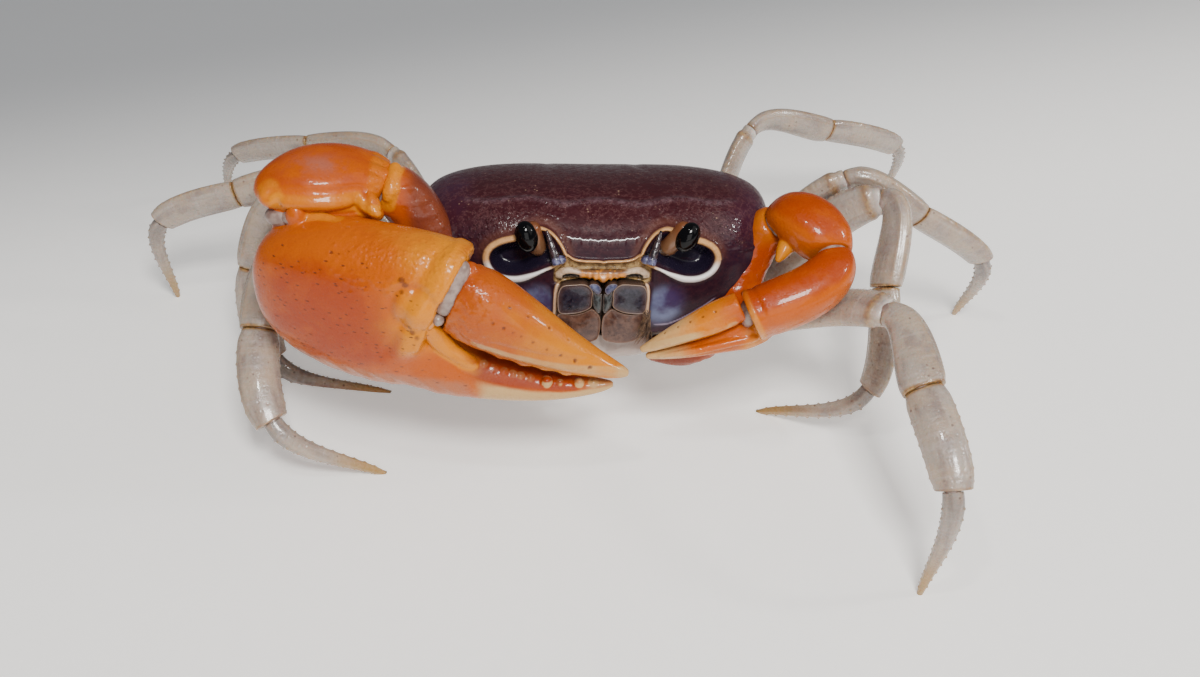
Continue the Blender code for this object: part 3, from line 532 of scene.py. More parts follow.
def signed_distance(x, z, line):
    """Distance of points from a closed line, positive inside it."""
    nearest = np.full(x.shape, np.inf)
    inside = np.zeros(x.shape, bool)
    for (ax, az), (bx, bz) in zip(line, np.roll(line, -1, axis=0)):
        dx, dz = bx - ax, bz - az
        u = np.clip(((x - ax) * dx + (z - az) * dz) / (dx * dx + dz * dz + 1e-12), 0, 1)
        nearest = np.minimum(nearest, np.hypot(x - ax - u * dx, z - az - u * dz))
        if az != bz:
            crosses = (az > z) != (bz > z)
            inside ^= crosses & (x < ax + (z - az) / (bz - az) * dx)
    return np.where(inside, nearest, -nearest)


across, height = np.abs(shell[..., 0]), shell[..., 2]
facing = ramp(-shell[..., 1], 4.5, 6.5)
near_face = (facing > 0) & (across < FACE_REACH) & (np.abs(height) < 8)
socket = np.full(across.shape, -9.0)
socket_line = round_line(SOCKET, 170)
socket[near_face] = signed_distance(across[near_face], height[near_face], socket_line)
print("points inside the two sockets:", int((socket > 0).sum()))

# %% [markdown]
# ## Front margin, cheeks and mouth field
#
# Between the sockets the shell ends in a thin cream margin, bent down over the face. Under it the shell
# is drawn back into a shallow band that holds the small feelers, and then comes the square field of the
# mouth, framed by a cream strip at either side. All of these are heights above or below the bare shell,
# summed up before the net is moved once.

# %% Relief of the face
LIP = [(0, 1.83), (0.35, 1.9), (1.0, 1.92), (1.8, 1.95), (2.8, 2.15), (3.6, 2.75)]
RIM_HEIGHT = 0.42
SOCKET_DEPTH = 1.7
MOUTH_MIDDLE, MOUTH_HALF = -3.65, (4.05, 3.75)

rim_width = 0.18 + 0.2 * ramp(across, 5.2, 7.6)
rim = bell(socket, 0, rim_width)
hollow = ramp(socket, 0.08, 1.5) * (0.62 + 0.38 * ramp(across, 4.6, 8.6))

lip_line = along(LIP, across)[..., 0]
lip_reach = 1 - ramp(across, 3.3, 3.75)
lip = bell(height, lip_line, 0.17) * lip_reach
under_lip = ramp(lip_line - height, 0.1, 0.45) * ramp(height, -0.6, 0.1) * (1 - ramp(across, 3.9, 4.9))
fold = bell(height, 1.12 - 0.02 * across**2, 0.13) * (1 - ramp(across, 3.6, 4.4))
brow_line = 3.75 + 0.03 * across**2 + 0.09 * np.sin(shell[..., 0] * 9.3) * np.sin(shell[..., 0] * 3.7)
brow = bell(height, brow_line, 0.42) * (1 - ramp(across, 3.2, 4.8))

mouth_x, mouth_z = np.abs(across / MOUTH_HALF[0]), np.abs((height - MOUTH_MIDDLE) / MOUTH_HALF[1])
mouth = (1 - (mouth_x**6 + mouth_z**6) ** (1 / 6)) * MOUTH_HALF[0]
mouth_hollow = ramp(mouth, 0.0, 0.45)
strip = bell(mouth, -0.28, 0.24) * ramp(-height, -0.2, 0.6) * (1 - ramp(-height, 4.2, 5.4))
cheek = bell(across, 5.9, 1.9) * bell(height, -2.6 + 0.12 * (across - 6), 1.9) * ramp(across, 4.3, 4.9)
seam = bell(height, -4.7 + 0.33 * np.maximum(across - 6.2, 0) ** 1.35, 0.14) * ramp(across, 4.6, 5.4)
seam = seam * (1 - ramp(across, 10.4, 11.6))

relief = facing * (
    RIM_HEIGHT * rim + 0.3 * lip + 0.16 * fold + 0.17 * brow + 0.14 * strip + 0.12 * seam + 0.25 * cheek
    - SOCKET_DEPTH * hollow - 0.5 * under_lip - 1.5 * mouth_hollow
)
print("deepest", round(float(-relief.min()), 2), "mm, proudest", round(float(relief.max()), 2), "mm")

# %% [markdown]
# ## Crests of the back
#
# Behind the front margin a low, wavy crest runs across the back. Further back the shell only swells a
# little over the gills. Towards the flanks a fine raised line marks where the back turns down.

# %% Relief of the back
crest_place = 2.15 + 0.1 * np.cos(shell[..., 0] * 0.9) + 0.006 * across**1.5
place_here = np.where(line_place > side_stops / 2, line_place - side_stops, line_place)
crest = bell(place_here[None, :], crest_place, 0.13) * (1 - ramp(across, 11.5, 13.5))
gills = bell(across, 9.0, 4.5) * bell(shell[..., 1], 1.0, 7.0) * ramp(height, 3.0, 6.0)
groove_line = 4.2 + 0.05 * (shell[..., 1] - 2) ** 2
groove = bell(across, groove_line, 0.5) * bell(shell[..., 1], 2.0, 3.2) * ramp(height, 4, 6)
flank_line = bell(height, 2.6, 0.22) * ramp(across, 11.6, 13.2) * ramp(3.5 - shell[..., 1], 0, 4)

back_relief = 0.12 * crest + 0.18 * gills - 0.12 * groove + 0.12 * flank_line
away = shell - np.array([0, *SHELL_MIDDLE]) * [0, 1, 1]
away = unit(away)
shell = shell + away * back_relief[..., None]
shell[..., 1] -= relief
granular = bell(across, 10.8, 1.5) * bell(height, 5.0, 1.1)
granular = granular + 0.8 * bell(across, 12.5, 1.6) * bell(height, 3.6, 1.2)
granular = np.clip(granular + 0.5 * crest + 0.35 * bell(across, 8.0, 4.0) * bell(height, 6.4, 0.8), 0, 1)
print("crest points:", int((crest > 0.5).sum()))

# %% [markdown]
# ## Grains
#
# Outside the eyes and along the crest the shell is set with grains as fine as sand, and each catches a
# spark of light. Real relief does this better than paint, because the wet gloss follows it.
# The grains are strewn by chance, thickest where the shell is roughest, and always in the same way.

# %% Grains of the shell
chance = np.random.default_rng(7)


def strewn(points, likely, count, radius, height):
    """Relief of small round grains, strewn over points where they are likely."""
    likely = np.clip(likely, 0, 1)
    picks = chance.choice(len(points), count, replace=False, p=likely / likely.sum())
    tree = KDTree(count)
    for index, pick in enumerate(picks):
        tree.insert(points[pick], index)
    tree.balance()
    relief = np.zeros(len(points))
    for index in np.flatnonzero(likely > 0.01):
        relief[index] = height * math.exp(-((tree.find(points[index])[2] / radius) ** 2))
    return relief


GRAIN_COUNT, GRAIN_RADIUS, GRAIN_HEIGHT = 1700, 0.15, 0.06
likely = (granular * facing * (across < FACE_REACH + 1.5)) ** 1.5
grains = strewn(shell.reshape(-1, 3), likely.ravel(), GRAIN_COUNT, GRAIN_RADIUS, GRAIN_HEIGHT)
shell = shell + away * grains.reshape(across.shape)[..., None]
print("tallest grain:", round(float(grains.max()), 3), "mm")

# %% [markdown]
# ## The finish of the back
#
# Wet crab shell is a dark lacquer over a mottled ground: maroon on the back, violet on the flanks and
# blue-black round the face, with tiny pale specks and pits. A coat gives the sharp wet glints and the
# pits break them up. The masks stored on the net paint rims, sockets, cheeks and the band under the
# margin, so no colour can slide off its shape.

# %% Carapace finish
MAROON, VIOLET, NIGHT = (0.037, 0.007, 0.010), (0.044, 0.012, 0.030), (0.014, 0.006, 0.014)
CREAM, BRIGHT = (0.64, 0.34, 0.14), (0.90, 0.86, 0.84)
TAN, LILAC = (0.15, 0.08, 0.03), (0.17, 0.20, 0.33)


def carapace_finish():
    paint = Paint("carapace_shell")
    cloud = paint.noise(5.0, 4)
    fine = paint.noise(0.5, 4, 0.7)
    flank = paint.mask("flank")
    dark = paint.mask("dark")
    paint.colour = paint.mix(paint.step(cloud + flank, 0.55, 1.15), MAROON, VIOLET)
    paint.cover(dark * 0.75, NIGHT)
    warm = paint.step(fine, 0.35, 0.7) * 0.35
    paint.cover(warm, (0.066, 0.016, 0.020))
    veins = paint.step(paint.noise(1.1, 5, 0.7), 0.5, 0.53) * paint.step(paint.noise(1.1, 5, 0.7), 0.56, 0.53)
    paint.cover(veins * paint.mask("speckled") * 0.3, (0.19, 0.09, 0.085))
    specks = paint.step(paint.cells(0.55), 0.2, 0.1) * paint.step(paint.noise(2.6, 3), 0.5, 0.66)
    specks = specks * paint.mask("speckled")
    paint.cover(specks * 0.75, (0.30, 0.19, 0.13))
    # pale crest: pale specks on the ridge, and a painted highlight along it
    paint.cover(paint.mask("crest") * paint.step(fine, 0.3, 0.7) * 0.28, (0.24, 0.16, 0.19))
    # lilac-blue cheeks: partly the bluish shell there, partly a painted sheen
    bluish = paint.mix(paint.step(cloud, 0.42, 0.6), LILAC, (0.05, 0.03, 0.09))
    paint.cover(paint.mask("cheek") * 0.85, bluish)
    # pale line along the raised seam: a painted highlight
    paint.cover(paint.mask("seam") * 0.6, (0.33, 0.27, 0.36))
    band = paint.mix(paint.step(fine, 0.38, 0.62), TAN, (0.40, 0.26, 0.11))
    paint.cover("band", band)
    paint.cover("mouth", (0.055, 0.034, 0.024))
    edge = paint.mix(paint.step(fine, 0.3, 0.75) * 0.5, CREAM, (0.34, 0.17, 0.06))
    edge = paint.mix(paint.mask("bright"), edge, BRIGHT)
    paint.cover(paint.mask("halo") * 0.3, (0.15, 0.05, 0.025))
    paint.cover("rim", edge)
    paint.cover("socket", (0.010, 0.007, 0.017))
    grains = paint.step(paint.cells(0.33), 0.45, 0.05) * paint.mask("granular")
    pits = paint.step(paint.cells(0.42), 0.05, 0.3) * 0.4 + fine * 0.7
    pits = pits + paint.noise(1.6, 2) * 0.9 + grains * 2.2
    roughness = 0.3 + 0.22 * paint.step(fine, 0.35, 0.75) - 0.14 * paint.mask("socket")
    wet = 0.08 + 0.92 * paint.mask("wet") + 0.4 * paint.mask("rim") + 0.5 * paint.mask("socket")
    return paint.finish(roughness, pits, 0.05, {
        "Coat Weight": wet, "Coat Roughness": 0.05, "Coat IOR": 1.42, "Specular IOR Level": 0.12})


carapace_paint = carapace_finish()
print("carapace finish uses", len(carapace_paint.node_tree.nodes), "nodes")

# %% [markdown]
# ## Painting by shape
#
# Each mask repeats a sum that raised or sank the shell, so the paint follows when the relief changes.

# %% The carapace
halo = bell(socket, -0.55, 0.4) * facing
edges = ramp(rim, 0.42, 0.75) + ramp(lip, 0.55, 0.85) + ramp(strip, 0.5, 0.85)
shell_masks = {
    "rim": np.minimum(edges, 1) * facing,
    "bright": ramp(2.0 - height, 0, 0.9) * ramp(across, 4.4, 5.6) * 0.95 + ramp(strip, 0.5, 0.85) * 0.2,
    "socket": ramp(socket, 0.25, 0.6) * facing,
    "halo": halo * ramp(height, 0.9, 3.0),
    "band": (ramp(under_lip, 0.2, 0.6) + ramp(fold, 0.5, 0.8) * 0.3) * facing,
    "mouth": ramp(mouth, 0.0, 0.2) * facing,
    "cheek": ramp(cheek, 0.12, 0.75) * (1 - mouth_hollow) * facing,
    "seam": ramp(seam, 0.5, 0.9) * facing,
    "crest": crest,
    "granular": granular,
    "wet": np.clip(brow + 1.2 * granular, 0, 1) * facing,
    "dark": facing * ramp(5.6 - height, 0, 3.5),
    "flank": 0.55 * ramp(across, 8, 15.5),
    "speckled": ramp(height, 1.5, 5.5) * ramp(-shell[..., 1], -3, 6),
}
shell_masks = {name: np.clip(values, 0, 1) for name, values in shell_masks.items()}
add_net("carapace_shell", shell, BODY, carapace_paint, ["carapace"], shell_masks)
print("carapace points:", shell.shape[0] * shell.shape[1])

# %% [markdown]
# ## Eyes
#
# Each eye is a black glassy bean on a short stalk, and the stalk reaches round its inner side up to the
# tip like a cap. The stalk is dull orange-brown, with a paler, greyer painted highlight low on its front.
# The black is not just dark: it is very smooth, so that the lights show in it as small bright windows.

# %% Eye finishes
STALK_FOOT, STALK_ROOT, STALK_TOP, EYE_LEAN = (5.95, 2.2), (5.9, 2.75), (7.25, 5.5), 0.45
STALK_SINK = 1.1
STALK_SIZES = [
    (0, 0.7, 0.7, 0.7), (0.3, 0.82, 0.8, 0.8), (0.6, 0.84, 0.8, 0.78), (0.85, 0.8, 0.78, 0.7),
    (0.96, 0.55, 0.5, 0.5), (1, 0.3, 0.3, 0.3),
]
CORNEA_SIZE = (1.05, 1.0, 1.5)


def stalk_finish():
    paint = Paint("eyestalk_shell")
    fine = paint.noise(0.5, 4)
    # the front mask paints a highlight: the lower front of the stalk is paler and greyer
    paint.colour = paint.mix(paint.mask("front"), (0.15, 0.045, 0.012), (0.16, 0.075, 0.034))
    paint.cover(paint.step(fine, 0.45, 0.7) * 0.5, (0.14, 0.05, 0.02))
    return paint.finish(0.25 + 0.2 * fine, fine, 0.03, {"Coat Weight": 0.4, "Coat Roughness": 0.1})


def cornea_finish():
    paint = Paint("cornea_black")
    edge = paint.mask("edge")
    paint.colour = paint.mix(edge, (0.002, 0.002, 0.0025), (0.03, 0.018, 0.008))
    facets = paint.cells(0.09)
    return paint.finish(0.06 + 0.1 * edge, facets, 0.002, {"Specular IOR Level": 0.22})


stalk_paint = stalk_finish()
cornea_paint = cornea_finish()
print("eye finishes:", stalk_paint.name, cornea_paint.name)

# %% [markdown]
# ## Stalk and bean
#
# The stalk is a short limb that comes out of the depth of its socket and bends up. The bean is a ball
# leaned the same way, so that the two stay together.

# %% Eyes


def ball_net(centre, radii, turned=None, rings=24, sides=40):
    """An ellipsoid as a net from its lower to its upper end."""
    polar = np.linspace(0.04, math.pi - 0.04, rings)[:, None]
    around = math.tau * np.arange(sides)[None, :] / sides
    net = np.stack([
        np.sin(polar) * np.cos(around) * radii[0], np.sin(polar) * np.sin(around) * radii[1],
        -np.cos(polar) * radii[2] * np.ones_like(around),
    ], axis=-1)
    if turned is not None:
        net = net @ np.array(turned).T
    return net + np.array(centre)


def eye(side, sign):
    depth = front(sign * STALK_FOOT[0], STALK_FOOT[1])[1]
    foot = np.array([sign * STALK_FOOT[0], depth + 0.3, STALK_FOOT[1]])
    top = np.array([sign * STALK_TOP[0] + EYE_LEAN, foot[1] - 0.35, STALK_TOP[1]])
    way = top - foot
    root = np.array([sign * STALK_ROOT[0], foot[1] + STALK_SINK, STALK_ROOT[1]])
    stalk = Limb((root, top), ((sign * 0.15, -1.0, 0.25), way), (1, 0, 0), STALK_SIZES, 44, 36)
    t = stalk.t[:, None]
    # painted highlight on the lower front of the stalk, the side that faces the viewer
    stalk_highlight = ramp(-stalk.out[..., 1], -0.1, 0.7) * (1 - ramp(t, 0.45, 0.8))
    stalk.push(0.05 * bell(t, 0.2, 0.05))
    masks = {"front": stalk.spread(stalk_highlight)}
    add_net(f"eyestalk_{side}_shell", stalk.closed(), BODY, stalk_paint, [f"eyestalk_{side}"], masks)
    centre = foot + way * 0.62 + np.array([sign * 0.62, -0.5, 0])
    lean = Vector((0, 0, 1)).rotation_difference(Vector(way)).to_matrix()
    cornea = ball_net(centre, CORNEA_SIZE, lean)
    offset = (cornea - centre) / CORNEA_SIZE[0]
    edge = ramp(np.abs(offset[..., 0] * sign + 0.15), 0.75, 0.95) * ramp(-sign * offset[..., 0], 0.2, 0.6)
    add_net(f"cornea_{side}_lens", cornea, BODY, cornea_paint, [f"cornea_{side}"], {"edge": edge})
    return foot


eye_feet = {side: eye(side, sign) for side, sign in SIDES.items()}
print("eye to eye:", round(float(np.linalg.norm(eye_feet["left"] - eye_feet["right"])), 1), "mm")

# %% [markdown]
# ## Feelers
#
# In the narrow end of each socket stands the antenna: a round bluish base, two short joints and a
# whip no longer than the eyestalk. They are small, but they fill the gap between the margin and the eye
# that would otherwise look like a hole.

# %% Feelers
ANTENNA_ROW = ((4.3, 1.75), (4.45, 2.4), (4.75, 3.3), (5.05, 4.1), (5.25, 4.75))
ANTENNA_RADII = (0.42, 0.42, 0.34, 0.24, 0.12)
ANTENNA_JOINTS = (0.2, 0.45, 0.68)


def feeler_finish():
    paint = Paint("feeler_shell")
    fine = paint.noise(0.35, 3)
    whip = paint.mix(paint.step(fine, 0.35, 0.65), (0.010, 0.006, 0.009), (0.045, 0.026, 0.030))
    bluish = paint.mix(paint.step(fine, 0.35, 0.65), (0.03, 0.03, 0.075), (0.15, 0.15, 0.26))
    paint.colour = paint.mix(paint.mask("base"), whip, bluish)
    return paint.finish(0.22 + 0.15 * fine, fine, 0.03, {"Coat Weight": 0.5, "Coat Roughness": 0.08})


feeler_paint = feeler_finish()


def feeler(side, sign):
    spots = np.array([front(sign * x, z) + (0, -0.75, 0) for x, z in ANTENNA_ROW])
    ways = (spots[1] - spots[0], spots[-1] - spots[-2])
    line = Limb((spots[0], spots[-1]), ways, (0, 1, 0), round_rows(ANTENNA_RADII), 48, 20)
    line.push(-0.07 * sum(bell(line.t, joint, 0.02) for joint in ANTENNA_JOINTS)[:, None])
    masks = {"base": line.spread(1 - ramp(line.t[:, None], 0.12, 0.26))}
    add_net(f"antenna_{side}_shell", line.closed(), BODY, feeler_paint, [f"antenna_{side}"], masks)


def feeler_base(side, sign):
    spot = front(sign * 4.0, 2.05) + (0, -0.1, 0)
    ball = ball_net(spot, (0.58, 0.5, 0.42))
    add_net(f"antenna_{side}_base", ball, BODY, feeler_paint, masks={"base": 1})


for side, sign in SIDES.items():
    feeler(side, sign)
    feeler_base(side, sign)
print("feelers:", [name for name in made if name.startswith("antenna")])

# %% [markdown]
# ## The bar over the mouth
#
# The epistome is a hard bar between the feelers and the mouth plates. Its lower edge is toothed, with
# one broad tooth in the middle, and it is orange there and cream at the ends, where two slits let the
# water out that the gills have used. The slits are shallow grooves painted near-black as the shade
# inside the openings.

# %% Epistome
BAR_REACH, BAR_HEIGHT = 4.35, 0.55
BAR_SIZES = [
    (0, 0.2, 0.25, 0.3), (0.06, 0.32, 0.34, 0.6), (0.16, 0.36, 0.34, 0.72), (0.3, 0.4, 0.34, 0.42),
    (0.5, 0.5, 0.36, 0.42), (0.7, 0.4, 0.34, 0.42), (0.84, 0.36, 0.34, 0.72), (0.94, 0.32, 0.34, 0.6),
    (1, 0.2, 0.25, 0.3),
]
SLIT_PLACES, SLIT_HALF = (0.175, 0.825), 0.1
BAR_TEETH = ((0.42, 0.2), (0.365, 0.12), (0.58, 0.2), (0.635, 0.12))


def bar_finish():
    paint = Paint("epistome_shell")
    fine = paint.noise(0.4, 4)
    orange = paint.mix(paint.step(fine, 0.38, 0.6), (0.62, 0.22, 0.02), (0.34, 0.12, 0.02))
    paint.colour = paint.mix(paint.mask("upper") * paint.step(fine, 0.3, 0.5), orange, (0.16, 0.07, 0.03))
    paint.cover("ends", (0.50, 0.36, 0.24))
    paint.cover(paint.mask("ends") * paint.step(fine, 0.5, 0.66) * 0.6, (0.28, 0.16, 0.08))
    # the slits are painted near-black: painted shade standing for the depth of the openings
    paint.cover("slit", (0.008, 0.006, 0.006))
    gloss = 0.3 * (1 - paint.mask("slit"))
    return paint.finish(0.3 + 0.15 * fine, fine, 0.05, {"Coat Weight": gloss, "Coat Roughness": 0.1})


def epistome():
    depth = front(0, BAR_HEIGHT)[1] + 0.12
    ends = [(x, depth + 0.35, BAR_HEIGHT - 0.12) for x in (-BAR_REACH, BAR_REACH)]
    bar = Limb(ends, ((1, -0.25, 0.12), (1, 0.25, -0.12)), (0, 1, 0), BAR_SIZES, 190, 34)
    t, down = bar.t[:, None], ramp(-bar.out[..., 2], 0.0, 0.9)
    teeth = 0.46 * bell(t, 0.5, 0.05) + sum(size * bell(t, place, 0.02) for place, size in BAR_TEETH)
    beads = 0.015 * np.sin(t * 110) * bell(t, 0.5, 0.16)
    slit = sum(bell(t, place, SLIT_HALF) for place in SLIT_PLACES)
    slit = slit * ramp(-bar.out[..., 2], -0.3, 0.1) * ramp(-bar.out[..., 1], -0.7, -0.1)
    bar.push(teeth * down + beads - 0.34 * ramp(slit, 0.35, 0.75))
    masks = {
        "ends": ramp(np.abs(t - 0.5), 0.2, 0.27),
        "slit": ramp(slit, 0.34, 0.5),
        "upper": ramp(bar.out[..., 2], 0.1, 0.6),
    }
    masks = {name: bar.spread(values) for name, values in masks.items()}
    return add_net("epistome", bar.closed(), BODY, bar_finish(), (), masks)


epistome()
print("epistome is", 2 * BAR_REACH, "mm wide")

# %% [markdown]
# ## Mouth plates
#
# Two outer jaws close the mouth like a pair of doors. Each is a broad lower plate and an upper one,
# blue-black with a cream line round it, and between the uppers hang the dark feelers of the jaws with
# their bluish tips. Every plate is a flat cushion: its outline is a smooth closed line, and rings drawn
# in from it rise to a rounded border and a slightly domed middle.

# %% Plates
DOOR_TOP, DOOR_FOOT = np.array([0.0, -12.62, -0.1]), np.array([0.0, -10.75, -6.3])
DOOR_WAY = (DOOR_FOOT - DOOR_TOP) / np.linalg.norm(DOOR_FOOT - DOOR_TOP)
DOOR_OUT = np.cross(DOOR_WAY, (1, 0, 0))
PLATE_RINGS = np.array([1.0, 0.996, 0.985, 0.965, 0.945, 0.925, 0.9, 0.82, 0.62, 0.36, 0.12])
PLATE_ROUNDING = (0.0, 0.55, 0.88, 1.0, 1.0, 0.95, 0.92, 0.92, 0.94, 0.98, 1.0)
PLATE_BACK = (0.3, 0.7, 0.97)
UPPER = [
    (3.75, 0.1), (2.7, -0.05), (1.62, -0.05), (0.95, 0.6), (0.93, 1.6), (0.98, 2.4), (1.7, 2.92),
    (2.75, 3.18), (3.95, 3.1), (4.2, 2.0), (4.15, 0.8),
]
LOWER = [
    (4.1, 3.22), (2.75, 3.32), (1.7, 3.07), (0.9, 2.7), (0.3, 3.2), (0.05, 3.9), (0.05, 5.2), (0.4, 6.2),
    (2.0, 6.55), (3.5, 6.1), (4.15, 4.6),
]
TIP = [(0.16, 0.45), (0.5, -0.05), (1.0, -0.18), (1.3, 0.05), (0.85, 0.62), (0.4, 0.95)]
INNER = [(0.08, 1.1), (0.4, 1.0), (0.86, 0.75), (0.9, 1.7), (0.75, 2.5), (0.3, 3.1), (0.07, 2.6)]


def plate_net(outline, sign, lift, thick, dome, count):
    """A cushion over an outline given in the plane of the mouth: x and the way down."""
    line = round_line(outline, count)
    middle = line.mean(0)
    plane = np.array([[sign, 0, 0], DOOR_WAY])

    def ring(share, up):
        return DOOR_TOP + (middle + (line - middle) * share) @ plane + DOOR_OUT * up

    back = [ring(share, lift - thick) for share in PLATE_BACK]
    rise = lift - thick + thick * np.array(PLATE_ROUNDING) + dome * (1 - PLATE_RINGS**2)
    return np.array(back + [ring(share, up) for share, up in zip(PLATE_RINGS, rise)])


def plate_masks():
    shares = np.concatenate([np.ones(len(PLATE_BACK)), PLATE_RINGS])[:, None]
    border, edge, side = bell(shares, 0.958, 0.02), ramp(shares, 0.6, 0.95), ramp(shares, 0.968, 0.985)
    return {"border": border, "edge": edge, "side": side}


print("the mouth plates lean back", round(math.degrees(math.atan2(DOOR_WAY[1], -DOOR_WAY[2]))), "degrees")

# %% [markdown]
# ## Finishes of the mouth
#
# All plates share one finish with four colours: ground, clouds, border and blotches. One function makes
# the four materials, which keeps their gloss alike.

# %% Mouth finishes
PLATE_COLOURS = {
    "upper_mouth_plate": [
        (0.006, 0.005, 0.013), (0.030, 0.027, 0.043), (0.32, 0.21, 0.14), (0.008, 0.006, 0.016)],
    "lower_mouth_plate": [
        (0.050, 0.020, 0.012), (0.115, 0.054, 0.036), (0.20, 0.11, 0.07), (0.038, 0.013, 0.010)],
    "mouth_feeler_tip": [(0.03, 0.035, 0.09), (0.12, 0.135, 0.24), (0.26, 0.25, 0.30), (0.02, 0.02, 0.05)],
    "mouth_feeler": [(0.012, 0.016, 0.020), (0.055, 0.065, 0.065), (0.13, 0.12, 0.11), (0.008, 0.010, 0.012)],
}


def door_finish(name, ground, cloudy, border, deep):
    paint = Paint(name)
    fine = paint.noise(0.45, 4, 0.65)
    paint.colour = paint.mix(paint.step(fine, 0.35, 0.65), ground, cloudy)
    blotches = paint.step(paint.noise(1.3, 4, 0.6), 0.46, 0.64)
    paint.cover(blotches * 0.7, deep)
    paint.cover(paint.mask("edge") * 0.35, (0.13, 0.065, 0.045))
    paint.cover("border", border)
    paint.cover("side", (0.05, 0.028, 0.02))
    height = paint.step(paint.cells(0.25), 0.05, 0.35) * 0.6 + fine * 0.5
    gloss = {"Coat Weight": 0.35, "Coat Roughness": 0.06, "Specular IOR Level": 0.3}
    return paint.finish(0.2 + 0.2 * fine, height, 0.03, gloss)


plate_paints = {name: door_finish(name, *colours) for name, colours in PLATE_COLOURS.items()}
print("mouth finishes:", len(plate_paints))

# %% [markdown]
# ## The two doors
#
# Each plate has its finish, its outline, its lift over the plane of the mouth, its thickness, its dome
# and the count of points round it. The right door is the left one mirrored.

# %% Mouth
PLATES = {
    "upper": ("upper_mouth_plate", UPPER, 0.42, 0.9, 0.12, 84),
    "lower": ("lower_mouth_plate", LOWER, 0.30, 0.9, 0.16, 84),
    "tip": ("mouth_feeler_tip", TIP, 0.52, 0.7, 0.12, 48),
    "inner": ("mouth_feeler", INNER, 0.40, 0.8, 0.16, 48),
}


def mouth_side(side, sign):
    for part, (paint, outline, *measures) in PLATES.items():
        net = plate_net(outline, sign, *measures)
        nodes = [f"maxilliped_{side}"] if part == "upper" else ()
        add_net(f"maxilliped_{side}_{part}", net, BODY, plate_paints[paint], nodes, plate_masks())


for side, sign in SIDES.items():
    mouth_side(side, sign)
print("mouth plates:", sum(name.startswith("maxilliped") for name in made))

# %% [markdown]
# ## Breastplate and tail
#
# Turned over, a male crab shows a pale breastplate crossed by seams, one for each pair of legs, and a
# narrow tail folded forward into a groove in it. The tail has seven rings, each overlapping the next.

# %% Underside finish


def underside_finish():
    paint = Paint("underside_shell")
    cloud = paint.noise(3.0, 4)
    fine = paint.noise(0.6, 4)
    paint.colour = paint.mix(paint.step(cloud, 0.35, 0.65), (0.36, 0.27, 0.23), (0.50, 0.42, 0.38))
    paint.cover(paint.mask("groove") * 0.7, (0.17, 0.09, 0.05))
    paint.cover(paint.step(fine, 0.55, 0.75) * 0.3, (0.22, 0.14, 0.13))
    return paint.finish(0.32 + 0.18 * fine, fine, 0.04, {"Coat Weight": 0.3, "Coat Roughness": 0.12})


underside_paint = underside_finish()
TAIL_PATH = [
    (0, 14.3, 0.2), (0.2, 13.9, -3.4), (0.4, 11.9, -7.0), (0.6, 8.2, -9.2), (0.8, 3.2, -10.0),
    (1, -2.4, -9.9),
]
TAIL_WIDTH = [(0, 3.6), (0.12, 4.6), (0.35, 5.6), (0.5, 5.0), (0.65, 3.4), (0.8, 2.5), (0.93, 1.7), (1, 0.5)]
TAIL_RINGS = 7

# %% [markdown]
# ## The tail
#
# The tail is an oval carried along a line that bends under the body. At the end of each ring it falls
# back a step, which gives the overlap without seven bodies.

# %% Tail


def tail():
    steps, sides = 160, 56
    t = np.linspace(0, 1, steps)
    path = along(TAIL_PATH, t)
    way = along(TAIL_PATH, t + 0.02) - along(TAIL_PATH, t - 0.02)
    way = unit(way)
    up = np.stack([-way[:, 1], way[:, 0]], axis=1)
    angle = math.tau * (np.arange(sides) + 0.5) / sides
    cosine, sine = np.cos(angle), np.sin(angle)
    part = t * TAIL_RINGS % 1
    step = (0.16 * ramp(part, 0.0, 0.85) * (1 - ramp(part, 0.9, 1.0)))[:, None]
    half_width = along(TAIL_WIDTH, t) + step * 0.6
    x = np.sign(cosine) * np.abs(cosine) ** (2 / 3) * half_width
    lift = np.sign(sine) * np.abs(sine) ** (2 / 3) * (0.38 + step)
    net = np.stack([x, path[:, :1] + lift * -up[:, :1], path[:, 1:] + lift * -up[:, 1:]], axis=-1)
    masks = {"groove": (1 - ramp(part, 0.02, 0.14))[:, None]}
    return add_net("pleon_shell", net, BODY, underside_paint, ["pleon"], masks)


tail()
print("tail rings:", TAIL_RINGS)

# %% [markdown]
# ## The breastplate
#
# The breastplate is one broad flat limb. Narrow bells cut its seams, a wave lets each part between them
# swell, and a shallow bed takes the tail.

# %% Breastplate
SEAM_COUNT, FIRST_SEAM, SEAM_STEP = 5, 0.14, 0.18
STERNUM_SIZES = [
    (0, 2.6, 0.9, 0.9), (0.1, 5.0, 1.05, 1.8), (0.3, 7.6, 1.1, 2.7), (0.6, 7.7, 1.1, 2.8),
    (0.85, 6.4, 1.05, 2.2), (1, 4.2, 0.9, 1.2),
]


def breastplate():
    ends, back = ((0, -9.0, -7.05), (0, 10.4, -7.05)), (0, 1, 0)
    plate = Limb(ends, (back, back), (1, 0, 0), STERNUM_SIZES, 150, 110, fullness=3)
    under = ramp(-plate.out[..., 2], 0.1, 0.6)
    seams = sum(bell(plate.t, FIRST_SEAM + SEAM_STEP * i, 0.012) for i in range(SEAM_COUNT))[:, None] * under
    swell = np.abs(np.sin((plate.t - FIRST_SEAM) / SEAM_STEP * math.pi))[:, None] * under
    plate.push(0.2 * swell - 0.35 * seams)
    reach = np.abs(plate.net[..., 0])
    bed = (1 - ramp(reach, 5.3, 6.4)) * under * ramp(plate.t[:, None], 0.30, 0.42)
    bed = np.maximum(bed, (1 - ramp(reach, 2.6, 3.6)) * under * ramp(plate.t[:, None], 0.28, 0.34))
    plate.net[..., 2] += 0.5 * bed
    masks = {"groove": plate.spread(np.clip(seams, 0, 1))}
    return add_net("sternum_shell", plate.closed(), BODY, underside_paint, ["sternum"], masks)


breastplate()
print("pieces so far:", len(made))

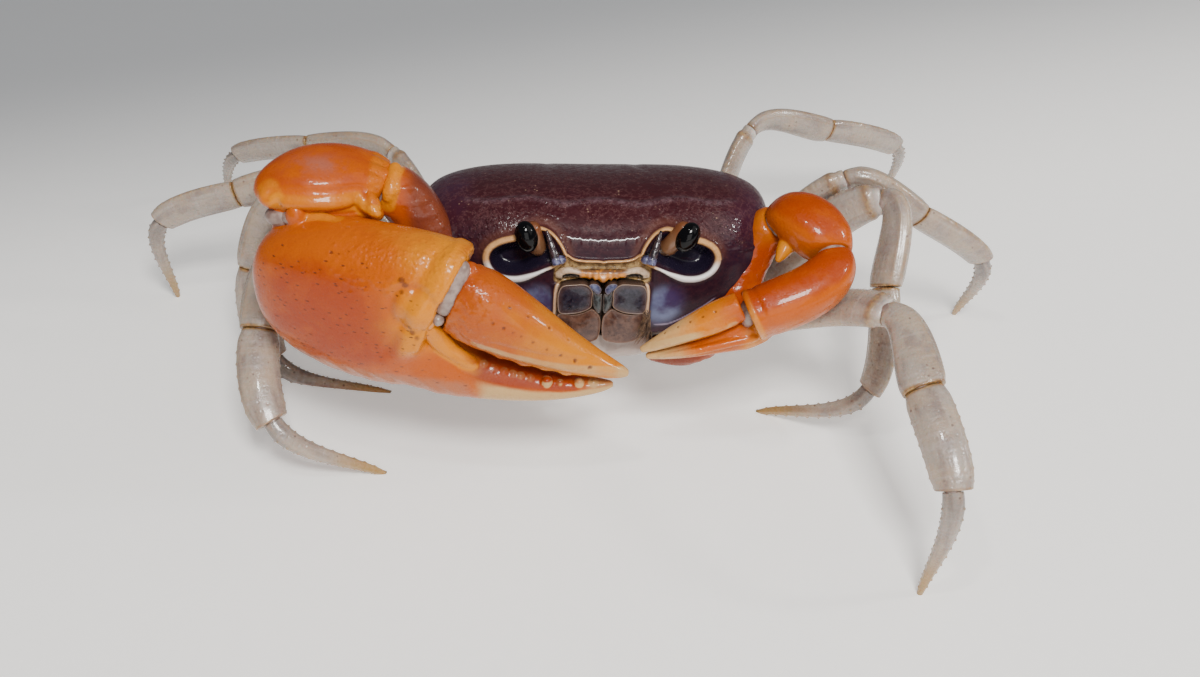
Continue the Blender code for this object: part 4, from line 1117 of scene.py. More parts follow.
# %% [markdown]
# ## Claws
#
# A claw piece is more than one oval: the palm is a swollen box cut off slanting at its hinge, with the
# fixed finger growing from its lower half and a neck that carries it. Such bodies are modelled as a few
# closed limbs pushed into one another and then fused: a voxel remesh wraps all of them in one skin and
# a short smoothing melts the creases, as a sculptor would blend clay. Booleans would leave sharp seams.
# Colours and small relief come after fusing and are worked out from where a point lies: its distance
# from drawn lines makes ridges, bands and rows of dots.

# %% Fused bodies


def joined(nets, matrix):
    """Points and faces of several nets, each facing outwards."""
    points, faces, total = [], [], 0
    for net in nets:
        spots = placed(net_points(net), matrix)
        own = outwards(spots, net_faces(*net.shape[:2]))
        faces += [tuple(corner + total for corner in face) for face in own]
        points.append(spots)
        total += len(spots)
    return np.vstack(points), faces


def fused(node, nets, voxel, passes):
    """One skin round several closed nets, over the floor, for the shell of a node."""
    blocks = new_mesh(f"{node}_blocks", *joined(nets, STANCE))
    body = new_object(f"{node}_blocks", blocks)
    skin = body.modifiers.new("skin", "REMESH")
    skin.mode = "VOXEL"
    skin.voxel_size = voxel * MM
    melt = body.modifiers.new("melt", "SMOOTH")
    melt.factor = 0.5
    melt.iterations = passes
    mesh = bpy.data.meshes.new_from_object(body.evaluated_get(bpy.context.evaluated_depsgraph_get()))
    mesh.name = f"{node}_shell"
    mesh.shade_smooth()
    bpy.data.objects.remove(body)
    bpy.data.meshes.remove(blocks)
    return mesh


def read(items, field, width=3, kind=float):
    """A field of all vertices or edges as rows."""
    values = np.empty(len(items) * width, kind)
    items.foreach_get(field, values)
    return values.reshape(-1, width)


def spots_of(mesh):
    """Vertices in millimetres over the floor, and their normals."""
    points = placed(read(mesh.vertices, "co") / MM, STANCE.inverted())
    return points, read(mesh.vertex_normals, "vector")


def raise_mesh(mesh, height):
    """Push each vertex along its normal by a height in millimetres."""
    points = read(mesh.vertices, "co") + read(mesh.vertex_normals, "vector") * (height * MM)[:, None]
    mesh.vertices.foreach_set("co", points.ravel())
    mesh.update()


def from_line(points, line):
    """Distance of points from a bent line."""
    line = np.array(line, float)
    nearest = np.full(len(points), np.inf)
    for start, end in zip(line, line[1:]):
        step = end - start
        u = np.clip((points - start) @ step / (step @ step), 0, 1)
        nearest = np.minimum(nearest, np.linalg.norm(points - start - u[:, None] * step, axis=1))
    return nearest


def cut_net(net, point, normal):
    """A net whose rings are drawn back behind a plane, for a piece cut off slanting."""
    normal = np.array(normal) / np.linalg.norm(normal)
    beyond = np.maximum((net - point) @ normal, 0)
    return net - beyond[..., None] * normal


print("cut and fuse tools ready")

# %% [markdown]
# ## Claw measures
#
# Each limb of a claw has its two ends, the directions in which it leaves and reaches them, and rows of
# place, half thickness, rise and drop. The right claw is the big one; its finger alone is as long as
# the whole palm of the other.

# %% Claw limbs
CLAWS = {
    "right": {
        "ischium": (((-6.3, -9.8, 9.1), (-10.6, -11.3, 10.6)), ((-0.9, -0.4, 0.1), (-0.8, -0.3, 0.5)),
                    [(0, 1.3, 1.4, 1.4), (0.5, 1.6, 1.6, 1.6), (1, 1.4, 1.4, 1.4)]),
        "merus": (((-9.6, -10.9, 10.0), (-19.0, -6.4, 26.0)), ((-0.75, -0.2, 0.6), (-0.85, 0.05, 0.42)),
                  [(0, 1.2, 1.3, 1.3), (0.15, 1.6, 1.7, 1.6), (0.5, 2.1, 2.1, 2.0), (0.8, 2.4, 2.5, 2.3),
                   (0.95, 2.4, 2.5, 2.3), (1, 2.1, 2.2, 2.0)]),
        "carpus": (((-19.0, -6.4, 26.0), (-30.0, -9.4, 26.9)), ((-0.85, 0.05, 0.42), (-0.85, -0.3, -0.3)),
                   [(0, 2.1, 2.1, 1.9), (0.12, 3.0, 2.2, 2.1), (0.35, 3.6, 2.35, 2.4), (0.6, 3.5, 2.3, 2.3),
                    (0.8, 2.6, 2.0, 1.9), (0.93, 1.6, 1.5, 1.5), (1, 0.7, 0.7, 0.7)]),
        "palm": (((-30.9, -10.2, 19.0), (-10.6, -16.6, 17.8)), ((0.95, -0.31, 0), (0.95, -0.31, 0)),
                 [(0, 0.8, 1.3, 1.3), (0.03, 2.2, 3.4, 3.4), (0.08, 3.1, 5.0, 5.0), (0.18, 3.9, 6.4, 6.6),
                  (0.35, 4.5, 7.6, 7.8), (0.55, 4.7, 8.1, 8.2), (0.75, 4.6, 8.4, 8.2), (0.92, 4.1, 8.4, 8.1),
                  (1.0, 3.6, 8.0, 7.8)]),
        "fixed": (((-20.5, -14.0, 15.1), (2.0, -18.3, 12.4)), ((0.95, -0.28, -0.17), (0.93, -0.05, 0.20)),
                  [(0, 2.8, 3.4, 3.4), (0.27, 3.4, 3.7, 3.6), (0.45, 2.9, 2.6, 2.7), (0.65, 2.1, 1.7, 1.8),
                   (0.85, 1.2, 0.95, 1.0), (0.96, 0.6, 0.5, 0.6), (1, 0.3, 0.25, 0.3)]),
        "finger": (((-12.6, -16.1, 21.3), (3.4, -18.3, 13.6)), ((0.88, -0.28, -0.38), (0.97, -0.05, -0.24)),
                   [(0, 2.7, 3.7, 3.5), (0.12, 3.0, 3.9, 3.5), (0.35, 2.7, 3.3, 2.9), (0.6, 2.0, 2.3, 1.9),
                    (0.85, 1.15, 1.2, 0.9), (0.96, 0.6, 0.65, 0.5), (1, 0.3, 0.35, 0.25)]),
    },
    "left": {
        "ischium": (((5.8, -9.4, 9.2), (10.4, -11.0, 10.4)), ((0.9, -0.4, 0.1), (0.85, -0.2, 0.45)),
                    [(0, 1.2, 1.3, 1.3), (0.5, 1.4, 1.4, 1.4), (1, 1.2, 1.2, 1.2)]),
        "merus": (((9.6, -10.8, 10.1), (17.6, -5.0, 21.0)), ((0.85, -0.25, 0.45), (0.6, -0.3, 0.74)),
                  [(0, 1.1, 1.2, 1.2), (0.15, 1.4, 1.5, 1.4), (0.5, 1.7, 1.8, 1.7), (0.8, 1.9, 2.0, 1.9),
                   (0.95, 1.9, 2.0, 1.9), (1, 1.6, 1.7, 1.6)]),
        "carpus": (((17.6, -5.0, 21.0), (22.2, -9.7, 20.5)), ((0.6, -0.3, 0.74), (0.15, -0.95, -0.3)),
                   [(0, 1.7, 1.7, 1.6), (0.2, 2.5, 2.4, 1.9), (0.5, 2.9, 2.7, 1.9), (0.8, 2.6, 2.4, 1.9),
                    (1, 1.9, 1.8, 1.7)]),
        "palm": (((22.2, -9.7, 20.5), (12.6, -14.5, 16.4)), ((0.15, -0.95, -0.3), (-0.93, -0.2, -0.28)),
                 [(0, 1.8, 1.7, 1.7), (0.15, 2.2, 2.3, 2.1), (0.45, 2.4, 2.8, 2.5), (0.75, 2.3, 3.0, 2.8),
                  (1.0, 1.9, 2.8, 2.7)]),
        "fixed": (((17.0, -13.0, 15.6), (5.0, -15.6, 13.4)), ((-0.93, -0.2, -0.25), (-0.97, -0.1, -0.05)),
                  [(0, 1.2, 1.3, 1.4), (0.25, 1.6, 1.6, 1.6), (0.5, 1.2, 1.15, 1.15), (0.8, 0.7, 0.6, 0.6),
                   (1, 0.3, 0.25, 0.25)]),
        "finger": (((13.9, -14.0, 18.1), (4.5, -15.7, 14.2)), ((-0.90, -0.2, -0.37), (-0.93, -0.1, -0.35)),
                   [(0, 1.3, 1.45, 1.35), (0.25, 1.4, 1.5, 1.3), (0.6, 1.05, 1.1, 0.85),
                    (0.85, 0.65, 0.6, 0.5), (1, 0.3, 0.25, 0.25)]),
    },
}
HINGE_PLANES = {
    "right": ((-14.4, -16.4, 17.5), (0.88, -0.286, -0.38)),
    "left": ((14.6, -13.9, 16.9), (-0.90, -0.2, -0.37)),
}
NECK = ((-26.9, -10.4, 21.6), (-27.7, -9.2, 26.2))
JOINT_GAP = 0.15


def claw_limb(side, part, steps, sides, gaps=(0, 0), fullness=2.3):
    """One limb of a claw; gaps draw its ends back from the joints."""
    ends, ways, rows = CLAWS[side][part]
    ways = [np.array(way) / np.linalg.norm(way) for way in ways]
    ends = (np.array(ends[0]) + ways[0] * gaps[0], np.array(ends[1]) - ways[1] * gaps[1])
    across = Vector(ways[0]).cross(Vector((0, 0, 1)))
    return Limb(ends, ways, across, rows, steps, sides, 0.33, fullness)


def behind_hinge(points, side):
    """How far points lie behind the plane where the palm is cut off for its finger."""
    point, normal = (np.array(row) for row in HINGE_PLANES[side])
    return (point - points) @ (normal / np.linalg.norm(normal))


def peg(line, radii):
    """A tapering peg along a straight line, for spines and knobs."""
    start, end = np.array(line[0], float), np.array(line[-1], float)
    ways = (end - start, end - start)
    return Limb((start, end), ways, (0.3, 1, 0.2), round_rows(radii), 24, 20, fullness=2)


print("limbs for each claw:", list(CLAWS["left"]))

# %% [markdown]
# ## Claw finishes
#
# The claws are orange to yellow enamel: deep orange on the flat of the palm, yellow where the shell is
# thick at ridges and hinges, salmon below and cream towards the tips. The masks say where, and a cloudy
# noise breaks their borders up, so that no band looks painted on. Dark pits and dashes lie only on the
# flat of the palm.

# %% Claw finishes
ORANGE, DEEP, YELLOW = (0.47, 0.085, 0.001), (0.33, 0.038, 0.001), (0.64, 0.205, 0.001)
SALMON, PALE, STAIN = (0.42, 0.13, 0.05), (0.56, 0.34, 0.135), (0.10, 0.025, 0.010)
DASH_SCALE = (900, 900, 2600)
CLAW_MASKS = ("deep", "yellow", "salmon", "pale", "pitted", "brown", "sheen", "dots", "rough", "skin")


def claw_finish():
    paint = Paint("claw_shell")
    cloud = paint.noise(2.4, 5, 0.62)
    fine = paint.noise(0.5, 4, 0.65)
    fade = cloud - 0.5
    paint.colour = paint.mix(paint.step(paint.mask("deep") + fade * 1.2, 0.2, 0.9), ORANGE, DEEP)
    paint.cover(paint.step(paint.mask("salmon") + fade * 0.8, 0.3, 0.8), SALMON)
    paint.cover(paint.step(paint.mask("yellow") + fade * 0.9, 0.05, 1.0), YELLOW)
    paint.cover(paint.step(paint.mask("pale") + fade * 0.7, 0.25, 0.9), PALE)
    spot = paint.node("ShaderNodeMapping", {}, {"Vector": paint.place, "Scale": DASH_SCALE})
    dashes = paint.step(paint.node("ShaderNodeTexVoronoi", {}, {"Vector": spot, "Scale": 1.0}), 0.22, 0.1)
    dashes = dashes * paint.step(paint.mask("pitted") + fade * 1.5, 0.35, 0.7)
    paint.cover(dashes * 0.8, STAIN)
    paint.cover(paint.step(fine, 0.5, 0.78) * 0.28, DEEP)
    paint.cover(paint.mask("brown") * 0.9, (0.055, 0.022, 0.022))
    paint.cover(paint.mask("sheen") * paint.step(cloud, 0.4, 0.6) * 0.28, (0.34, 0.24, 0.22))
    paint.cover("dots", STAIN)
    paint.cover("skin", (0.62, 0.52, 0.44))
    grains = paint.step(paint.cells(0.4), 0.5, 0.1) * paint.mask("rough")
    height = fine * 0.9 - dashes * 1.3 + paint.step(paint.cells(0.55), 0.05, 0.35) * 0.35 + grains * 0.7
    roughness = 0.24 + 0.2 * paint.step(fine, 0.35, 0.75)
    return paint.finish(roughness, height, 0.05, {
        "Coat Weight": 0.3, "Coat Roughness": 0.06, "Specular IOR Level": 0.15})


def membrane_finish():
    paint = Paint("joint_skin")
    fine = paint.noise(0.7, 4)
    paint.colour = paint.mix(paint.step(fine, 0.35, 0.65), (0.19, 0.125, 0.105), (0.32, 0.235, 0.20))
    return paint.finish(0.35 + 0.15 * fine, paint.noise(0.35, 3), 0.02, {"Coat Weight": 0.4})


claw_paint = claw_finish()
membrane_paint = membrane_finish()
print("claw masks:", ", ".join(CLAW_MASKS))

# %% [markdown]
# ## Beads, ridges and knobs
#
# Shell is thickest round its hinges. A bead is a rounded cord bent through a few points; fused into the
# palm it becomes a ridge, and a ball becomes a knob or one of the blunt teeth. Each is sunk by about
# half, so that only its crown stands out.

# %% Beads and dressing
BEAD_RINGS, BEAD_SIDES = 60, 20


def bead(line, radii):
    """A rounded cord along a bent line, with a radius for each of its points."""
    line = np.array(line, float)
    place = np.linspace(0, 1, len(line))
    t = np.linspace(0, 1, BEAD_RINGS)
    centre = along(np.column_stack([place, line]), t)
    radius = along(np.column_stack([place, radii]), t)
    radius = radius * np.sqrt(np.clip(1 - np.abs(2 * t - 1)[:, None] ** 10, 0.02, 1))
    way = unit(np.gradient(centre, axis=0))
    side = unit(np.cross(way, (0.31, 0.2, 0.93)))
    up = np.cross(side, way)
    angle = math.tau * np.arange(BEAD_SIDES) / BEAD_SIDES
    ring = side[:, None] * np.cos(angle)[:, None] + up[:, None] * np.sin(angle)[:, None]
    return centre[:, None] + ring * radius[..., None]


def knob(centre, radius):
    radii = (radius, radius, radius) if np.isscalar(radius) else radius
    return ball_net(np.array(centre, float), radii, rings=16, sides=24)


def near(points, spots, radius):
    """1 within a radius of any of the spots, fading just outside."""
    mask = np.zeros(len(points))
    for spot in spots:
        distance = np.linalg.norm(points - spot, axis=1)
        mask = np.maximum(mask, 1 - ramp(distance, radius * 0.75, radius * 1.15))
    return mask


def by_line(points, line, radius):
    """1 within a radius of a bent line, fading just outside."""
    return 1 - ramp(from_line(points, line), radius * 0.8, radius * 1.4)


def relax(mesh, weight, passes):
    """Draw vertices towards the middle of their neighbours where the weight is 1, to melt a crease."""
    points, pairs = read(mesh.vertices, "co"), read(mesh.edges, "vertices", 2, int)
    count = len(points)
    degree = np.bincount(pairs.ravel(), minlength=count)[:, None]
    for _ in range(passes):
        total = np.column_stack([
            np.bincount(pairs[:, 0], points[pairs[:, 1], axis], count)
            + np.bincount(pairs[:, 1], points[pairs[:, 0], axis], count) for axis in range(3)])
        points = points + (total / degree - points) * weight[:, None] * 0.9
    mesh.vertices.foreach_set("co", points.ravel())
    mesh.update()


def dress(node, mesh, masks):
    """A fused body as the shell of a node; masks that it does not have are empty."""
    count = len(mesh.vertices)
    store(mesh, {mask: np.clip(masks.get(mask, np.zeros(count)), 0, 1) for mask in CLAW_MASKS})
    return add_piece(f"{node}_shell", mesh, claw_paint, [node])


def add_skin(name, nets, paint=membrane_paint, matrix=STANCE):
    """Several closed nets as one piece: the soft skin of a joint, or a tuft."""
    return add_piece(name, new_mesh(name, *joined(nets, matrix)), paint)


print("rings and sides of a bead:", bead([(0, 0, 0), (1, 0, 0), (2, 1, 0)], [0.4, 0.5, 0.3]).shape[:2])

# %% [markdown]
# ## The big palm
#
# The palm ends in a slanting yellow collar where the finger is hinged, with a knob at its upper corner
# and a soft swelling in the middle. From the lower corner a thick yellow ridge runs down to the fixed
# finger, whose inner face is deep orange and carries blunt teeth, some large and most small.

# %% Big palm
COLLAR_WIDTH, COLLAR_HEIGHT = 1.5, 0.22
NECK_RADII = (1.7, 1.65, 1.55, 1.3)
SEAM_PASSES = 260
HINGE_KNOB, LOW_KNOB = (-11.75, -15.9, 25.3), (-14.3, -18.9, 20.1)
SWELLING, SWELLING_RADIUS = (-15.4, -19.0, 21.7), 1.25
HINGE_RIDGE = [
    (-14.5, -18.7, 19.9), (-13.9, -18.0, 17.9), (-12.9, -18.0, 16.4), (-11.4, -18.4, 15.4),
    (-10.2, -18.6, 14.8),
]
NECK_RIDGE = [(-26.6, -11.0, 25.2), (-25.4, -11.0, 25.6), (-24.0, -11.2, 25.8), (-22.6, -11.8, 26.0)]
BLUNT_TEETH = [
    (-9.7, -18.3, 14.75, 0.34), (-8.8, -18.4, 14.35, 0.26), (-7.9, -18.5, 14.05, 0.33),
    (-7.1, -18.6, 13.8, 0.24), (-6.4, -18.6, 13.6, 0.32), (-5.5, -18.7, 13.4, 0.26),
    (-4.0, -18.9, 13.25, 0.5), (-2.8, -18.8, 13.0, 0.25), (-1.1, -18.7, 12.9, 0.42),
    (0.2, -18.5, 12.7, 0.22),
]
PALM_STAINS = [
    (-16.3, -18.4, 24.4), (-16.4, -18.9, 23.5), (-15.8, -19.6, 20.2), (-15.2, -19.7, 19.1),
    (-15.6, -19.6, 19.6), (-16.0, -18.6, 24.0),
]


def palm_body():
    """Palm, fixed finger, neck, ridges, knobs and teeth as one skin, with a smooth seam under the hinge."""
    palm = claw_limb("right", "palm", 110, 110, (JOINT_GAP, 0), 2.5)
    fixed = claw_limb("right", "fixed", 120, 40)
    nets = [cut_net(palm.closed(), *HINGE_PLANES["right"]), fixed.closed(), peg(NECK, NECK_RADII).closed()]
    nets += [knob(HINGE_KNOB, 0.95), knob(LOW_KNOB, 0.6), bead(HINGE_RIDGE, [0.6, 0.72, 0.75, 0.7, 0.5])]
    nets += [bead(NECK_RIDGE, [0.75, 0.6, 0.55, 0.4]), knob((-26.3, -11.0, 25.8), (1.0, 0.95, 1.4))]
    nets += [knob(row[:3], row[3]) for row in BLUNT_TEETH]
    mesh = fused("cheliped_right_palm", nets, 0.15, 5)
    points = spots_of(mesh)[0]
    below = 1 - ramp(points[:, 2], 16.2, 17.6)
    seam = bell(behind_hinge(points, "right"), 0.0, 2.6) * below
    relax(mesh, seam * ramp(from_line(points, HINGE_RIDGE), 0.8, 1.4), SEAM_PASSES)
    return mesh


def collar_of(points):
    """The stretch behind the hinge, above the fixed finger, and the swelling in its middle."""
    above = ramp(points[:, 2], 15.2, 17.5) * ramp(-points[:, 0], 9.0, 10.5)
    collar = (1 - ramp(behind_hinge(points, "right"), COLLAR_WIDTH * 0.6, COLLAR_WIDTH * 1.2)) * above
    to_swelling = np.linalg.norm(points - SWELLING, axis=1)
    swelling = bell(to_swelling, 0, SWELLING_RADIUS) - 0.3 * bell(to_swelling, 2.1, 0.45)
    return above, collar, swelling


def palm_relief(points, normals):
    """Collar, swelling, the dent behind them, wrinkles below and grains on the upper edge."""
    above, collar, swelling = collar_of(points)
    x, z = points[:, 0], points[:, 2]
    dent = bell(behind_hinge(points, "right"), 2.3, 0.5) * above * ramp(-points[:, 1], 15.5, 17.5)
    wrinkles = np.sin(x * 3.1 + z * 1.3 + np.sin(z * 2.0)) * ramp(15.0 - z, 0, 1.5) * ramp(-x, 9, 13)
    rough = bell(z, 25.2, 1.6) * ramp(x, -24, -19) * ramp(-normals[:, 1], -0.2, 0.3)
    grains = strewn(points, rough, 420, 0.2, 0.07)
    return COLLAR_HEIGHT * collar + 0.75 * swelling - 0.26 * dent + 0.03 * wrinkles + grains


print("stains on the palm:", len(PALM_STAINS))

# %% [markdown]
# ## Colours of the big palm
#
# Deep orange lies round the middle of the flat side, yellow on collar, ridges and knobs, salmon below,
# cream on the fixed finger and dark brown between its teeth.

# %% Big palm masks


def palm_masks(bare, points, normals):
    """Masks of the palm, by its points before the relief was raised and after it."""
    above, collar, swelling = collar_of(bare)
    behind = behind_hinge(bare, "right")
    x, z = bare[:, 0], bare[:, 2]
    on_finger = ramp(x, -12.5, -8.5)
    inner = ramp(normals[:, 2], 0.0, 0.5) * on_finger * ramp(-normals[:, 1], -0.9, 0.2)
    inner = inner * (1 - 0.7 * ramp(x, -2.5, 1.0))
    ridge = by_line(points, HINGE_RIDGE, 0.85)
    centre = np.hypot((x + 23.5) / 8.0, (z - 19.0) / 6.0)
    teeth = near(points, [row[:3] for row in BLUNT_TEETH], 0.5) * ramp(normals[:, 2], -0.1, 0.4)
    yellow = 0.6 * collar + 0.8 * bell(behind, 0, 4.2) * above * ramp(z, 15.5, 20.5) + ridge
    yellow = yellow + 0.35 * swelling + by_line(points, NECK_RIDGE, 0.7) * 0.6
    yellow = yellow + 0.3 * ramp(z, 24.5, 26.3) * ramp(x, -24, -14) + near(points, [HINGE_KNOB], 1.2)
    flat = (1 - ramp(centre, 0.9, 1.5)) * ramp(-normals[:, 1], 0.1, 0.6)
    between = inner * (0.2 + 0.4 * bell(x, -10.5, 1.5))
    return {
        "deep": (1 - ramp(centre, 0.4, 1.5)) * 0.8 + 0.9 * inner,
        "yellow": np.clip(yellow, 0, 1) * (1 - inner),
        "salmon": ramp(14.8 - z, 0, 2.2) * (1 - on_finger) * 0.9 + 0.3 * ramp(-x, 28.5, 30.5),
        "pale": on_finger * (1 - inner) * (1 - ridge) + teeth * 0.45,
        "skin": near(points, [LOW_KNOB], 0.6) * 0.7,
        "pitted": flat + ramp(14.8 - z, 0, 1.2) * 0.8 * (1 - on_finger),
        "dots": near(points, PALM_STAINS, 0.3) * 0.75,
        "rough": bell(z, 25.6, 1.2) * ramp(x, -23, -19),
        "brown": between + ramp(x, -1.0, 2.0) * ramp(normals[:, 2], -0.2, 0.6) * 0.35,
    }


def big_palm():
    mesh = palm_body()
    bare, normals = spots_of(mesh)
    raise_mesh(mesh, palm_relief(bare, normals))
    return dress("cheliped_right_palm", mesh, palm_masks(bare, *spots_of(mesh)))


palm = big_palm()
print("big palm:", len(palm.data.vertices), "points")

# %% [markdown]
# ## The big finger
#
# The movable finger is broad at its hinge and three-sided: a rounded back, a flat front with a row of
# small dark pores, and a cream ridge along its lower edge. It is rough and wrinkled near the hinge and
# smooth and pale at the tip.

# %% Big finger
PORES = [
    (-8.5, -19.9, 20.9), (-7.6, -20.0, 20.4), (-6.8, -20.0, 19.9), (-6.1, -20.0, 19.5), (-5.1, -20.0, 18.8),
    (-3.9, -19.9, 17.9), (-2.7, -19.8, 17.1), (-1.4, -19.7, 16.3), (-0.1, -19.5, 15.4),
]
CUTTING_TEETH = ((0.34, 0.2), (0.46, 0.3), (0.57, 0.2), (0.68, 0.28))
UPPER_PORES = [(-7.0, -19.2, 22.0), (-5.4, -19.2, 21.0), (-3.6, -19.0, 19.6), (-1.9, -18.9, 18.2)]
LOW_RIDGE = [
    (-10.2, -19.3, 18.3), (-8.0, -19.7, 17.5), (-5.8, -19.8, 16.8), (-2.8, -19.7, 15.8), (0.8, -19.2, 14.8),
    (3.0, -18.7, 14.0),
]


def big_finger():
    finger = claw_limb("right", "finger", 140, 60, (1.0, 0))
    t = finger.t[:, None]
    lower = ramp(-finger.out[..., 2], 0.35, 0.9)
    cutting = sum(size * bell(t, place, 0.03) for place, size in CUTTING_TEETH)
    finger.push(cutting * lower)
    nets = [finger.closed(), bead(LOW_RIDGE, [0.28, 0.34, 0.34, 0.32, 0.25, 0.18])]
    nets += [knob((-10.6, -16.5, 23.7), (1.1, 1.0, 1.1)), knob((-11.3, -18.5, 19.9), 0.75)]
    mesh = fused("cheliped_right_finger", nets, 0.14, 5)
    points, normals = spots_of(mesh)
    distance = from_line(points, LOW_RIDGE)
    x = points[:, 0]
    groove = bell(distance, 1.0, 0.28) * ramp(-normals[:, 1], 0.2, 0.7)
    groove = groove * ramp(x, -10, -7.5) * ramp(2.0 - x, 0, 3)
    pores = near(points, PORES, 0.2) + near(points, UPPER_PORES, 0.16)
    hinge = ramp(-x, 7.5, 11.0)
    wrinkles = np.sin(points[:, 2] * 4 + np.sin(x * 2.3) * 2.0) * hinge
    wet = hinge * ramp(-normals[:, 1], 0.1, 0.5) * ramp(normals[:, 2], -0.3, 0.2)
    raise_mesh(mesh, -0.12 * groove - 0.08 * pores + 0.035 * wrinkles + strewn(points, wet, 260, 0.2, 0.07))
    points, normals = spots_of(mesh)
    ridge = 1 - ramp(distance, 0.4, 0.75)
    masks = {
        "deep": hinge * 0.6 * ramp(normals[:, 2], 0, 0.6),
        "yellow": ramp(x, -9.5, -1.0) * 0.75 + 0.2 * ramp(-normals[:, 1], 0.2, 0.9),
        "pale": ramp(x, 1.8, 3.6) * 0.5 + ridge * 0.66,
        "brown": 0.16 - 0.06 * ramp(x, -2, 3),
        "salmon": ramp(-normals[:, 2], 0.3, 0.8) * ramp(-x, 0, 4) * 0.8,
        "dots": pores * 0.85,
        "rough": hinge * ramp(-normals[:, 1], 0.1, 0.5),
    }
    return dress("cheliped_right_finger", mesh, masks)


finger = big_finger()
HINGE_SKIN = [
    (-11.1, -16.2, 25.0), (-11.7, -17.15, 24.2), (-12.2, -17.75, 23.0), (-12.7, -18.15, 21.7),
    (-13.1, -18.4, 20.6),
]
hinge_skin = [bead(HINGE_SKIN, [0.95, 1.25, 1.2, 1.0, 0.7]), knob((-13.4, -18.8, 20.3), 0.55)]
add_skin("cheliped_right_finger_skin", hinge_skin)
print("big finger:", len(finger.data.vertices), "points")

# %% [markdown]
# ## Wrist and arm of the big claw
#
# The carpus is a smooth vaulted piece with a thick yellow ridge along its front, a knob where it holds
# the palm, and one strong spine. The merus behind it ends in a raised yellow edge, and the part of it
# nearer the body is painted dark brown as the shade behind the palm. Grey-lilac skin shows where they
# part.

# %% Wrist and arm
WRIST_RIDGE = [
    (-27.6, -10.7, 27.3), (-26.2, -10.8, 27.3), (-24.6, -10.8, 27.2), (-22.9, -10.5, 27.0),
    (-21.2, -9.8, 26.8),
]
SHEEN_SPOT = (-24.3, -8.4, 29.4)
ARM_RIDGE = [(-17.8, -5.6, 27.9), (-17.9, -6.9, 27.5), (-18.1, -8.1, 26.8), (-18.5, -8.7, 25.7)]


def big_wrist():
    body = claw_limb("right", "carpus", 90, 64, (JOINT_GAP, 0), 2.5)
    spine = peg([(-20.8, -8.7, 26.7), (-18.9, -11.0, 25.9)], (1.2, 1.05, 0.75, 0.22)).closed()
    under_ridge = [(x, y + 0.5, z - 1.4) for x, y, z in WRIST_RIDGE]
    under_ridge += [(-19.9, -8.9, 24.7), (-18.9, -8.8, 24.4)]
    nets = [body.closed(), spine, bead(WRIST_RIDGE, [0.75, 0.72, 0.7, 0.7, 0.6])]
    nets += [bead(under_ridge, [0.8, 0.85, 0.85, 0.9, 0.9, 0.85, 0.6])]
    nets += [knob((-28.4, -10.0, 27.4), (1.3, 1.1, 1.2))]
    mesh = fused("cheliped_right_carpus", nets, 0.15, 6)
    points, normals = spots_of(mesh)
    ridge_distance = from_line(points, WRIST_RIDGE)
    groove = bell(ridge_distance, 1.25, 0.3) * ramp(-normals[:, 1], 0.0, 0.5)
    groove = groove * ramp(normals[:, 2], -0.1, 0.3)
    edge = ramp(points[:, 0], -20.4, -19.6)
    raise_mesh(mesh, -0.18 * groove + 0.12 * edge * np.abs(np.sin(points[:, 1] * 2.4)))
    ridge = 1 - ramp(ridge_distance, 0.75, 1.2)
    tip = near(points, [(-19.6, -10.8, 25.7), (-20.2, -9.8, 26.1)], 1.1)
    to_sheen = np.linalg.norm((points - SHEEN_SPOT) * (0.6, 1.1, 1), axis=1)
    masks = {
        "yellow": 0.55 * ridge + tip + 0.45 * near(points, [(-28.4, -10.3, 27.9)], 1.4) + 0.4 * edge,
        "deep": 0.5 * ramp(normals[:, 2], 0.3, 0.8) * (1 - ridge),
        "sheen": bell(to_sheen, 0, 1.4),
        # darker brown on the underside: painted shade where the wrist hangs over the palm
        "brown": ramp(-points[:, 2], -24.6, -23.6) * 0.3,
        "rough": edge,
    }
    return dress("cheliped_right_carpus", mesh, masks)


def arm_ribs(points, normals):
    """Low ribs across the front of an arm."""
    return np.maximum(np.sin(points[:, 2] * 5.2), 0) * bell(normals[:, 1], -0.6, 0.25)


def big_arm():
    arm, root = claw_limb("right", "merus", 80, 48, (0, JOINT_GAP)), claw_limb("right", "ischium", 30, 30)
    nets = [arm.closed(), root.closed(), bead(ARM_RIDGE, [0.6, 0.7, 0.75, 0.55])]
    mesh = fused("cheliped_right_merus", nets, 0.16, 5)
    points, normals = spots_of(mesh)
    raise_mesh(mesh, 0.1 * arm_ribs(points, normals))
    ridge = by_line(points, ARM_RIDGE, 0.8)
    masks = {
        "yellow": ridge * 0.9,
        # darker brown on the part nearer the body: painted shade behind the palm and beside the carapace
        "brown": ramp(points[:, 0], -17.4, -15.8) * 0.75 * (1 - ridge),
        "deep": np.full(len(points), 0.5),
        "salmon": ramp(14.0 - points[:, 2], 0, 4) * 0.6,
        "rough": ridge * 0.6,
    }
    return dress("cheliped_right_merus", mesh, masks)


big_wrist()
big_arm()
wrist_skin = [knob((-27.8, -10.0, 25.3), (1.6, 1.3, 0.9)), knob((-26.3, -10.6, 25.6), (1.5, 1.2, 0.8))]
add_skin("cheliped_right_wrist_skin", wrist_skin)
add_skin("cheliped_right_arm_skin", [knob((-19.0, -6.5, 25.7), (1.75, 1.75, 1.75))])
print("big claw pieces:", [name for name in made if name.startswith("cheliped_right")])

# %% [markdown]
# ## The small claw
#
# The small claw is folded in front of the body. Its wrist is a smooth cushion with one spine, its palm
# is slender, and both fingers are straight, ridged and cream towards the tips.

